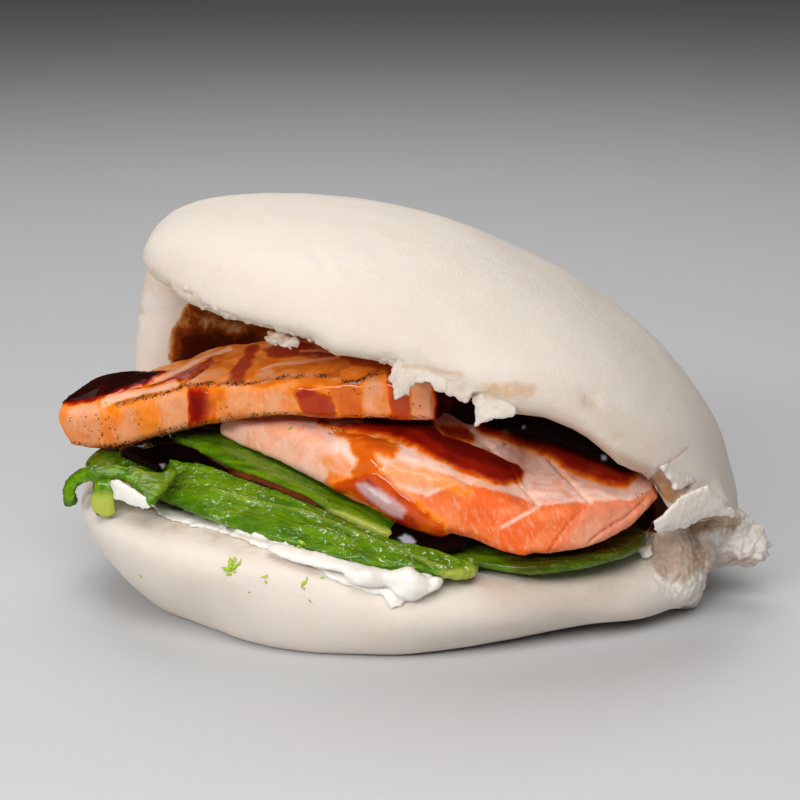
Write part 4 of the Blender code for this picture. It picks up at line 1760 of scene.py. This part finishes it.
    def settle(self, piece: Piece) -> None:
        """Lowers the left tip and rounds its end off, to their drawn outline.

        Args:
            piece: the slice.
        """
        marks = Marks(piece)
        marks.lower(along_table(marks.drawn[:, 0], self.tip_drop))
        marks = Marks(piece)
        across, down = marks.drawn.T
        tip = 1.0 - smooth_step(across, 64.0, 112.0)
        marks.points[:, 0] += MM * tip * (1.7 * smooth_step(down, 418.0, 452.0) - 0.4)
        put(piece, marks.points)

    def build(self) -> Piece:
        """Models and dresses the slice.

        Returns:
            The piece.
        """
        piece = copy_of_solid("salmon_upper", "upper_salmon")
        fine_skin(piece, self.voxel, 6)
        self.settle(piece)
        marks = Marks(piece)
        upward = smooth_step(marks.normals[:, 2], 0.35, 0.75)
        stripes = marks.strokes(self.stripes, 3.0)
        bare = most_of(marks.patches(self.bare, 4.0, 1.4), stripes * 0.9)
        sauce = self.glaze(marks, upward, bare)
        char = self.charred(marks, upward, sauce)
        crease = marks.stroke(self.crease, 2.0, 2.0)
        flakes = [(((across, 394), (across + 3, 440)), 1.4) for across in self.flake_ends]
        rough = 1.0 - 0.85 * smooth_step(sauce, 0.35, 0.7)
        amounts = rough * (marks.rough(4.0, 3, 7) * 0.20 + marks.rough(1.2, 3, 8) * 0.07)
        amounts -= crease * 0.6 + marks.strokes(flakes, 1.6) * 0.22
        amounts += sauce * 0.35 + marks.dome(self.pool, 0.45, 9.0)
        # painted highlight: pale dashes just under the top front edge, where the glaze would catch
        # a lamp
        under_edge = [(across, down + 1.5) for across, down in self.top_edge[8:]]
        glint = 0.8 * marks.stroke(under_edge, 0.8, 1.2) * marks.mottle(1.4, 3, 27, 0.15, 0.35)
        marks.swell(amounts)
        marks.keep(
            cut=np.clip(1.0 - upward - 0.75 * bare, 0, 1), fat=stripes * 0.6, glint=glint,
            char=most_of(char, crease), sauce=most_of(sauce, crease * 0.6),
        )
        finish = GlazedSalmon(
            "upper_salmon",
            cut=(0.86, 0.32, 0.11),
            cut_deep=(0.86, 0.23, 0.045),
            cooked=(0.84, 0.39, 0.215),
            cooked_warm=(0.84, 0.26, 0.055),
            turn=(0.0, 0.0, 24.0),
        )
        dress(piece, finish.material())
        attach(piece, "root")
        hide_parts("salmon_upper")
        return piece


@dataclass
class LowerSlice:
    """The lower slice: pale cooked top, vivid cut face in flakes, and pools of sauce."""

    voxel: float = 0.36 * MM
    rim_middle: float = 520.0
    rim_rise: float = 13.0
    face: Outline = (
        (330, 470), (380, 490), (426, 494), (456, 483), (499, 491), (539, 504), (588, 501),
        (631, 501), (648, 490), (668, 470), (668, 520), (600, 570), (520, 575), (440, 545),
        (370, 515), (320, 490),
    )
    pools: Outlines = (
        (((439, 427), (452, 426), (466, 429), (474, 436), (474, 442), (460, 441),
          (446, 437)), 0.62),
        (((340, 424), (380, 424), (405, 424), (434, 428), (444, 437), (466, 443), (495, 455),
          (518, 466), (523, 473), (521, 482), (502, 485), (487, 482), (472, 475), (456, 470),
          (436, 461), (414, 448), (399, 441), (375, 436), (350, 432)), 0.68),
        (((404, 430), (440, 438), (494, 458), (514, 468), (510, 478), (486, 474),
          (440, 456)), 0.76),
        (((537, 446), (543, 440), (564, 442), (590, 453), (610, 461), (628, 469), (633, 478),
          (627, 487), (606, 484), (587, 479), (568, 471), (552, 460), (539, 454)), 0.62),
        (((320, 416), (432, 420), (436, 430), (390, 432), (345, 430), (318, 424)), 0.85),
    )
    # painted shade: the sauce turns black along under the lid's lip
    lip_shade: Outline = ((488, 422), (506, 428), (530, 436), (560, 446), (590, 456), (624, 470))
    # painted highlights: a glint in the dark sauce under the upper slice's edge, and a pinkish
    # sheen along the thick run of glaze
    painted_glints: Outlines = (
        (((321, 421), (334, 418), (352, 419), (367, 423), (362, 427), (344, 426),
          (330, 423)), 0.75),
        (((360, 482), (370, 480), (384, 488), (398, 497), (409, 508), (405, 514), (392, 510),
          (376, 501), (364, 491)), 0.50),
        (((366, 483), (376, 486), (388, 493), (398, 502), (390, 501), (378, 494)), 0.95),
    )
    flows: Outlines = (
        (((346, 440), (362, 436), (380, 440), (400, 449), (392, 458), (376, 454), (384, 470),
          (374, 480), (362, 480), (350, 472), (358, 460), (350, 450)), 0.40),
        (((328, 484), (345, 478), (362, 472), (376, 468), (388, 474), (402, 487), (420, 501),
          (432, 513), (446, 524), (450, 534), (442, 541), (426, 536), (410, 530), (396, 521),
          (376, 507), (352, 494), (336, 490)), 0.46),
        (((360, 484), (372, 475), (384, 484), (398, 499), (414, 511), (428, 519), (422, 528),
          (404, 521), (388, 513), (370, 499)), 0.61),
        (((320, 424), (350, 432), (384, 438), (400, 444), (396, 452), (366, 442),
          (340, 438)), 0.42),
        (((382, 460), (450, 474), (480, 486), (470, 500), (440, 490), (386, 484)), 0.21),
        (((536, 452), (552, 462), (582, 482), (604, 488), (590, 492), (560, 478)), 0.12),
        (((318, 452), (340, 452), (356, 464), (352, 478), (330, 480), (322, 468)), 0.20),
        (((222, 420), (300, 424), (336, 440), (340, 480), (300, 478), (230, 440)), 0.11),
    )
    fat_lines: Outlines = (
        (((470, 430), (478, 440), (489, 447), (514, 470), (539, 504)), 4.0),
        (((548, 459), (568, 480), (592, 503)), 3.0),
        (((426, 495), (440, 488), (456, 482)), 5.0),
        (((502, 527), (516, 519), (531, 511), (540, 503)), 3.5),
        (((384, 455), (410, 462), (440, 472), (470, 484)), 4.5),
        (((397, 523), (440, 541), (487, 553), (520, 560)), 3.0),
        (((533, 556), (552, 559), (580, 553), (612, 543)), 2.5),
    )
    grooves: Outlines = (
        (((646, 499), (626, 517), (606, 529), (590, 542)), 1.8),
        (((654, 502), (640, 520), (622, 534)), 1.2),
        (((589, 503), (566, 528), (545, 556)), 1.2),
        (((470, 430), (489, 445), (500, 458)), 1.2),
        (((486, 444), (496, 448), (506, 444)), 1.6),
        (((548, 459), (568, 480), (592, 503)), 1.2),
        (((505, 470), (522, 488), (539, 504)), 1.0),
    )
    charred: Outlines = (
        (((500, 428), (509, 430), (510, 444), (502, 446)), 0.5),
        (((624, 490), (650, 490), (650, 500), (628, 500)), 0.25),
        (((322, 426), (350, 428), (346, 438), (326, 434)), 0.35),
    )

    pink: Outline = (
        (590, 506), (634, 502), (652, 492), (656, 500), (640, 528), (600, 550), (560, 556),
    )
    front_corner: Outline = ((484, 545), (528, 548), (534, 566), (500, 566))

    def relief(self, marks: Marks, face: Array, fat: Array, sauce: Array) -> Array:
        """How far the flesh and the sauce on it stand out.

        Args:
            marks: the slice's marks.
            face: the cut face.
            fat: the lines of fat.
            sauce: how thick the sauce lies.

        Returns:
            The height at each vertex.
        """
        rough = 1.0 - 0.9 * smooth_step(sauce, 0.25, 0.5)
        amounts = rough * (marks.rough(5.0, 3, 17) * 0.25 + marks.rough(1.3, 3, 18) * 0.08)
        amounts -= marks.strokes(self.grooves, 1.8) * 0.55 + 0.20 * fat * (1.0 - face)
        amounts += 0.35 * sauce + 0.7 * marks.patch(self.front_corner, 10.0)
        amounts += sum(marks.dome(outline, 0.45, 9.0) for outline, _ in self.pools[1:4])
        thin_run, thick_run = (outline for outline, _ in self.flows[:2])
        return amounts + (marks.dome(thin_run, 0.30, 8.0) + marks.dome(thick_run, 0.95, 13.0))

    def build(self) -> Piece:
        """Models and dresses the slice.

        Returns:
            The piece.
        """
        piece = copy_of_solid("salmon_lower", "lower_salmon")
        fine_skin(piece, self.voxel, 6)
        marks = Marks(piece)
        across, down = marks.drawn.T
        far_rim = 1.0 - smooth_step(np.abs(across - self.rim_middle), 10.0, 52.0)
        marks.lower(-self.rim_rise * far_rim * (1.0 - smooth_step(down, 442.0, 476.0)))
        marks = Marks(piece)
        hidden = 1.0 - marks.facing
        face = marks.patch(self.face, 3.0, 1.2)
        sideways = smooth_step(-marks.normals[:, 2], -0.45, -0.05)
        sauce = most_of(
            marks.patches(self.pools, 8.0, 1.4),
            marks.patches(self.flows, 9.0, 2.5),
            0.30 * hidden * marks.mottle(8.0, 3, 4, -0.1, 0.4),
            # painted shade under the lid's lip, as black sauce
            marks.stroke(self.lip_shade, 22.0, 17.0),
        )
        fat = marks.strokes(self.fat_lines, 3.0)
        pink = marks.patch(self.pink, 30.0)
        marks.swell(self.relief(marks, face, fat, sauce))
        marks.keep(
            cut=most_of(face, sideways * hidden), fat=most_of(fat * 0.9, pink * 0.35),
            char=marks.patches(self.charred, 6.0, 2.0), sauce=sauce,
            glint=marks.patches(self.painted_glints, 4.0, 1.2),
        )
        finish = GlazedSalmon(
            "lower_salmon",
            cut=(0.94, 0.25, 0.085),
            cut_deep=(0.92, 0.15, 0.028),
            cooked=(0.97, 0.66, 0.57),
            cooked_warm=(0.94, 0.46, 0.32),
            turn=(0.0, 20.0, 0.0),
        )
        dress(piece, finish.material())
        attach(piece, "root")
        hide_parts("salmon_lower")
        return piece


# ---- the greens


class Green(Enum):
    """The green slices, by the solid that each one follows."""

    FRONT = "green_front"
    BACK = "green_back"
    LOW = "green_low"
    LEFT = "green_left"


@dataclass(frozen=True)
class GreenSlice:
    """What sets one green slice apart."""

    which: Green
    turn: float  # the way its ridges run, in degrees from +X towards +Y
    rise: float  # their height
    dark: float  # how dark it is all over
    pitted: float = 0.10
    glint: float = 0.12
    raised: Sequence[Touch] = ()
    pale: Sequence[Touch] = ()
    dim: Sequence[Touch] = ()


@dataclass
class Greens:
    """The green slices between base and salmon, and the thin leaves at their left end."""

    voxel: float = 0.34 * MM
    rib: Outline = (
        (212, 490), (250, 500), (298, 511), (330, 522), (358, 534), (404, 553), (445, 567),
    )
    slices: Sequence[GreenSlice] = (
        GreenSlice(
            Green.FRONT, -28.0, 0.45, 0.0, pitted=0.42, glint=0.78,
            raised=(Touch(rib, 0.65, 4.0, width=3.0),),
            pale=(
                Touch(rib, 0.42, 4.0, width=3.0),
                Touch(((440, 570), (484, 566), (484, 582), (440, 580)), 0.8, 6.0, 0.0),
            ),
        ),
        GreenSlice(
            Green.BACK, -30.0, 0.08, 0.12,
            pale=(
                Touch(
                    ((322, 507), (345, 512), (375, 524), (400, 534), (402, 546), (380, 542),
                     (340, 524)),
                    0.95, 3.0, 0.0,
                ),
            ),
        ),
        GreenSlice(
            Green.LOW, 8.0, 0.3, 0.40,
            pale=(Touch(((440, 570), (482, 570), (484, 580), (440, 578)), 0.7, 5.0, 0.0),),
            dim=(Touch(((480, 540), (660, 520), (660, 545), (520, 575)), 0.45, 12.0, 0.0),),
        ),
        GreenSlice(
            Green.LEFT, 60.0, 0.22, 0.34,
            raised=(
                Touch(
                    ((50, 464), (98, 464), (98, 474), (122, 480), (122, 530), (50, 530)),
                    -0.7, 8.0, 0.0,
                ),
                Touch(((140, 436), (172, 436), (174, 460), (140, 462)), -2.6, 8.0, 0.0),
            ),
            dim=(Touch(((124, 436), (180, 436), (180, 462), (126, 458)), 0.9, 6.0, 0.0),),
        ),
    )
    leaves: Sequence[Sheet] = (
        Sheet(
            "leaf_bridge",
            ((90, 468), (112, 468), (131, 468), (150, 474), (164, 474), (172, 468), (180, 476),
             (168, 490), (156, 502), (149, 505), (143, 499), (132, 485), (115, 478), (97, 480)),
            plane=((92, 470, -15.0), (180, 474, -18.0), (149, 505, -28.0)),
            thick=1.2, bulge=0.7, shore=8.0, step=1.2, ragged=1.4, grain=8.0, rough=0.12,
            voxel=0.24 * MM,
        ),
        Sheet(
            "leaf_curl",
            ((132, 469), (112, 467), (89, 472), (74, 476), (67, 481), (64, 491), (66, 501),
             (69, 504), (73, 501), (76, 489), (80, 483), (90, 481), (100, 482), (116, 478)),
            plane=((132, 470, -17.5), (70, 480, -12.5), (69, 503, -13.5)),
            thick=1.0, bulge=0.5, shore=5.0, step=1.0, ragged=0.9, grain=7.0, voxel=0.22 * MM,
        ),
        Sheet(
            "leaf_stub",
            ((98, 480), (94, 496), (94, 507), (98, 512), (108, 516), (114, 514), (115, 499),
             (111, 480)),
            plane=((100, 482, -17.0), (112, 484, -17.5), (104, 514, -18.5)),
            thick=1.3, bulge=0.5, shore=5.0, step=1.0, ragged=0.9, grain=6.0, voxel=0.22 * MM,
        ),
    )
    pale_stub: Touch = Touch(((88, 494), (120, 494), (120, 524), (88, 524)), 0.9, 14.0, 0.0)

    def ridged(self, marks: Marks, rise: float, turn: float) -> Array:
        """Ridges that run along a slice.

        Args:
            marks: the slice's marks.
            rise: their height, in millimetres.
            turn: the way that they run, in radians from +X towards +Y.

        Returns:
            How far each vertex moves, in millimetres.
        """
        x, y, z = marks.points.T
        along = x * math.cos(turn) + y * math.sin(turn)
        beside = -x * math.sin(turn) + y * math.cos(turn)
        return rise * unevenness(np.stack((along / 9.0, beside, z), axis=1), 1.7 * MM, 3, 5)

    def build_one(self, cut: GreenSlice) -> Piece:
        """Models and dresses one slice.

        Args:
            cut: the slice.

        Returns:
            The piece.
        """
        which = cut.which
        piece = copy_of_solid(which.value, which.value.replace("green", "greens"))
        fine_skin(piece, self.voxel, 3)
        marks = Marks(piece)
        amounts = self.ridged(marks, cut.rise, math.radians(cut.turn))
        amounts += marks.rough(0.9, 3, 31) * 0.10
        for touch in cut.raised:
            amounts += marks.touched(touch)
        edge, dark = marks.most(cut.pale), cut.dark + marks.most(cut.dim)
        marks.swell(amounts)
        marks.keep(edge=edge, dark=dark)
        finish = WetGreen(which.value, (0.0, 0.0, -cut.turn), cut.pitted, cut.glint)
        dress(piece, finish.material())
        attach(piece, "root")
        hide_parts(which.value)
        return piece

    def build(self) -> list[Piece]:
        """Models and dresses every slice and leaf.

        Returns:
            The pieces.
        """
        made = [self.build_one(cut) for cut in self.slices]
        for leaf in self.leaves:
            piece = leaf.build()
            marks = Marks(piece)
            pale = [self.pale_stub] if leaf.name == "leaf_stub" else []
            marks.keep(edge=marks.most(pale), dark=marks.most([]))
            dress(piece, bpy.data.materials["green_left"])
            made.append(piece)
        return made


# ---- cream, sauce, zest


@dataclass
class Cream:
    """Cream that shows under the greens."""

    voxel: float = 0.30 * MM
    smears: Sequence[Sheet] = (
        Sheet(
            "cream_smear",
            ((150, 503), (172, 509), (190, 515), (205, 519), (250, 531), (290, 542), (330, 559),
             (370, 565), (400, 570), (433, 574), (438, 586), (430, 592), (419, 590), (408, 593),
             (403, 606), (389, 609), (380, 598), (350, 588), (330, 581), (318, 572), (290, 560),
             (250, 546), (220, 533), (198, 530), (176, 525), (157, 517)),
            thick=0.6, bulge=0.35, shore=6.0, step=1.2, ragged=2.8, grain=8.0, rough=0.07,
            smoothing=6, voxel=0.24 * MM,
        ),
        Sheet(
            "cream_wedge",
            ((113, 480), (119, 478), (130, 485), (142, 494), (154, 502), (150, 507), (134, 504),
             (116, 498)),
            plane=((114, 480, -21.5), (119, 500, -21.5), (152, 504, -27.0)),
            thick=1.2, bulge=0.8, shore=7.0, ragged=1.2, grain=8.0, rough=0.08, smoothing=4,
        ),
        Sheet(
            "cream_drop",
            ((636, 549), (645, 546), (653, 548), (653, 556), (648, 562), (641, 561), (637, 555)),
            thick=0.9, bulge=0.9, shore=5.0, step=1.2, ragged=0.6, smoothing=6,
        ),
    )

    def build(self, tree: BVHTree) -> list[Piece]:
        """Models and dresses the cream.

        Args:
            tree: the surfaces that its smears lie on.

        Returns:
            The pieces.
        """
        made = []
        material = SoftCream().material()
        for node in ("cream_front", "cream_left"):
            piece = copy_of_solid(node, node.replace("cream", "soft_cream"))
            fine_skin(piece, self.voxel, 6)
            marks = Marks(piece)
            marks.swell(marks.rough(1.8, 3, 40) * 0.22)
            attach(piece, "root")
            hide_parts(node)
            made.append(piece)
        made.extend(smear.build(tree) for smear in self.smears)
        for piece in made:
            dress(piece, material)
        return made


@dataclass
class Sauce:
    """Dark sauce that pooled on the greens and runs between them."""

    pools: Sequence[Sheet] = (
        Sheet(
            "sauce_pool_left",
            ((118, 451), (124, 446), (140, 441), (160, 440), (176, 446), (184, 456), (178, 464),
             (168, 466), (166, 475), (159, 475), (148, 471), (134, 465), (121, 461)),
            thick=0.7, bulge=1.7, shore=9.0, ragged=1.2, smoothing=5, levelled=True,
        ),
        Sheet(
            "sauce_stream",
            ((150, 444), (175, 441), (197, 449), (214, 460), (226, 467), (241, 471), (263, 478),
             (285, 487), (307, 496), (322, 506), (316, 510), (307, 505), (285, 496), (263, 487),
             (241, 480), (219, 475), (197, 470), (175, 463), (154, 456)),
            thick=0.6, bulge=0.45, shore=5.0, ragged=0.5, smoothing=4, levelled=True,
        ),
        Sheet(
            "sauce_pool_middle",
            ((389, 528), (396, 520), (415, 516), (445, 522), (468, 534), (470, 544), (458, 549),
             (446, 556), (432, 552), (420, 557), (406, 554), (398, 547), (388, 541)),
            plane=((400, 530, -28.9), (400, 550, -32.9), (470, 530, -28.9)),
            thick=0.5, bulge=0.4, shore=12.0, ragged=2.6, smoothing=4,
        ),
        Sheet(
            "sauce_in_mouth",
            ((492, 428), (504, 421), (522, 419), (545, 424), (566, 431), (586, 441), (606, 452),
             (617, 464), (603, 461), (588, 454), (568, 446), (546, 438), (522, 431), (502, 429)),
            plane=((500, 426, -29.5), (610, 458, -26.5), (560, 450, -28.0)),
            thick=1.4, bulge=0.3, shore=5.0, step=1.0, ragged=0.8, grain=5.0, rough=0.20,
            smoothing=1, voxel=0.24 * MM,
        ),
    )

    # painted highlights on the pools and on the sauce in the mouth
    painted_glints: Outlines = (
        (((399, 538), (404, 534), (410, 536), (415, 542), (411, 545), (403, 543)), 0.60),
        (((138, 446), (148, 444), (152, 446), (146, 448)), 0.50),
        (((160, 464), (165, 463), (167, 468), (164, 472)), 0.55),
        (((523, 426), (525, 426), (525, 428), (523, 428)), 0.34),
        (((602, 456), (605, 456), (606, 459), (603, 459)), 0.40),
    )
    rim_thinness: dict[str, float] = field(
        default_factory=lambda: {"sauce_pool_left": 0.6, "sauce_stream": 0.6}
    )

    def build(self, tree: BVHTree) -> list[Piece]:
        """Models and dresses the sauce.

        Args:
            tree: the surfaces that it lies on.

        Returns:
            The pieces.
        """
        made = []
        material = DarkSauce().material()
        for pool in self.pools:
            piece = pool.build(tree)
            marks = Marks(piece)
            thin = 1.0 - smooth_step(depth_inside(marks.drawn, pool.outline), 0.0, pool.shore * 0.8)
            thin = self.rim_thinness.get(pool.name, 0.0) * thin
            if pool.name == "sauce_stream":
                thin = most_of(thin, 0.28 + 0.42 * smooth_step(marks.drawn[:, 0], 220.0, 240.0))
            clotted = np.full(len(thin), float(pool.name == "sauce_in_mouth"))
            marks.keep(thin=thin, clotted=clotted, glint=marks.patches(self.painted_glints, 3.0, 1.2))
            dress(piece, material)
            made.append(piece)
        return made


@dataclass
class ZestFlecks:
    """Flecks of grated lime peel on the base and the salmon."""

    flecks: Sequence[Triple] = (
        (227, 569, 0.75), (231, 563, 0.8), (236, 566, 0.75), (233, 570, 0.5), (240, 563, 0.45),
        (229, 574, 0.45), (235, 560, 0.4), (298, 547, 0.7), (302, 543, 0.6), (294, 550, 0.4),
        (265, 576, 0.45), (266, 582, 0.3), (304, 583, 0.5), (303, 588, 0.35), (307, 579, 0.25),
        (322, 578, 0.3), (141, 576, 0.3), (290, 429, 0.45), (106, 403, 0.4), (275, 548, 0.3),
        (250, 592, 0.25), (310, 601, 0.3),
    )  # across, down and half length in millimetres
    sides: Triple = (1.0, 0.42, 0.30)
    spin: float = 1.9  # radians from each fleck to the next

    def build(self, tree: BVHTree) -> Piece:
        """Models and dresses the flecks as one piece.

        Args:
            tree: the surfaces that they lie on.

        Returns:
            The piece.
        """
        parts = []
        for number, (across, down, half) in enumerate(self.flecks):
            hit = SIGHT.onto(across, down, tree)
            if hit is None:
                continue
            spot, normal = hit
            bpy.ops.object.select_all(action="DESELECT")
            bpy.ops.mesh.primitive_ico_sphere_add(subdivisions=3, radius=1.0)
            part = primitive(f"fleck_{number}")
            shape = places_of(part)
            lumpy = 1.0 + 0.75 * unevenness(shape + number * 3.7, 0.7, 3, number + 1)
            shape = shape * lumpy[:, None] * self.sides * half * MM
            cos, sin = math.cos(number * self.spin), math.sin(number * self.spin)
            flat = shape[:, :2] @ np.array(((cos, sin), (-sin, cos)))
            turn = np.array(normal.to_track_quat("Z", "Y").to_matrix())
            shape = np.column_stack((flat, shape[:, 2])) @ turn.T
            put(part, shape + np.array(spot + normal * (0.2 * half * MM)))
            parts.append(part)
        only(parts[0])
        for part in parts:
            part.select_set(True)
        bpy.ops.object.join()
        piece = primitive("lime_zest")
        dress(piece, LimeZest().material())
        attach(piece, "root")
        return piece


@dataclass
class FilledBun:
    """The bun with all that is in and on it."""

    def build(self) -> None:
        """Builds every piece in order and reports it."""
        made = [Bun().build(), *TornBits().build(), UpperSlice().build(), LowerSlice().build()]
        made += Greens().build()
        tree = surfaces(made)
        made += [*Cream().build(tree), *Sauce().build(tree), ZestFlecks().build(tree)]
        for piece in made:
            report(piece)


def report(piece: Piece) -> None:
    """Writes a piece's name and size to the log.

    Args:
        piece: the piece.
    """
    places = places_of(piece) / MM
    low, high = places.min(axis=0).round(1), places.max(axis=0).round(1)
    log.info("%s: %d faces, %s to %s mm", piece.name, len(piece.data.polygons), low, high)


# ---- the studio


@dataclass(frozen=True)
class SoftBox:
    """One soft light, turned to the bun."""

    name: str
    place: Triple  # metres
    sides: tuple[float, float]  # metres
    power: float  # watts
    tint: Colour = (1.0, 0.985, 0.96)
    aim: Triple = (0.0, 0.0, 0.03)

    def hang(self) -> None:
        """Hangs the light."""
        lamp = bpy.data.lights.new(self.name, "AREA")
        lamp.shape, lamp.size, lamp.size_y = "RECTANGLE", *self.sides
        lamp.energy, lamp.color = self.power, self.tint
        holder = placed(self.name, lamp)
        holder.location = self.place
        way = Vector(self.aim) - Vector(self.place)
        holder.rotation_euler = way.to_track_quat("-Z", "Y").to_euler()


@dataclass
class Studio:
    """Floor, soft lights and the camera."""

    floor_side: float = 12.0
    lights: Sequence[SoftBox] = (
        SoftBox("key_light", (-0.28, -0.483, 0.30), (0.44, 0.10), 2.28),
        SoftBox("front_light", (0.04, -0.44, 0.50), (0.34, 0.34), 1.95),
        SoftBox("back_light", (-0.04, 0.30, 0.56), (0.50, 0.50), 2.1),
    )
    sky: float = 0.05
    sky_tint: Colour = (1.0, 0.95, 0.90)
    sensor: float = 36.0  # millimetres
    near: float = 0.01
    far: float = 50.0

    def build(self) -> None:
        """Sets the studio up."""
        bpy.ops.object.select_all(action="DESELECT")
        bpy.ops.mesh.primitive_plane_add(size=self.floor_side)
        floor = primitive("pale_floor")
        floor.data.materials.append(PaleFloor().material())
        for light in self.lights:
            light.hang()
        world = bpy.data.worlds.new("studio")
        bpy.context.scene.world = world
        world.use_nodes = True
        sky = world.node_tree.nodes["Background"].inputs
        sky["Color"].default_value = (*self.sky_tint, 1.0)
        sky["Strength"].default_value = self.sky
        bpy.context.scene.view_settings.view_transform = "Standard"
        self.camera()

    def camera(self) -> None:
        """Stands the camera at the drawing's eye."""
        lens = bpy.data.cameras.new("camera")
        lens.sensor_width = self.sensor
        lens.lens = SIGHT.reach * self.sensor / (2 * SIGHT.half)
        lens.clip_start, lens.clip_end = self.near, self.far
        camera = placed("camera", lens)
        camera.location = Vector(SIGHT.eye)
        camera.rotation_euler = Vector(SIGHT.forward).to_track_quat("-Z", "Y").to_euler()
        bpy.context.scene.camera = camera


FRAME: dict[str, Any] = {}


def main() -> None:
    """Builds the dressed bun and its studio."""
    logging.basicConfig(level=logging.INFO, format="%(name)s: %(message)s")
    FRAME.update(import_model())
    FilledBun().build()
    Studio().build()


if __name__ == "__main__":
    main()
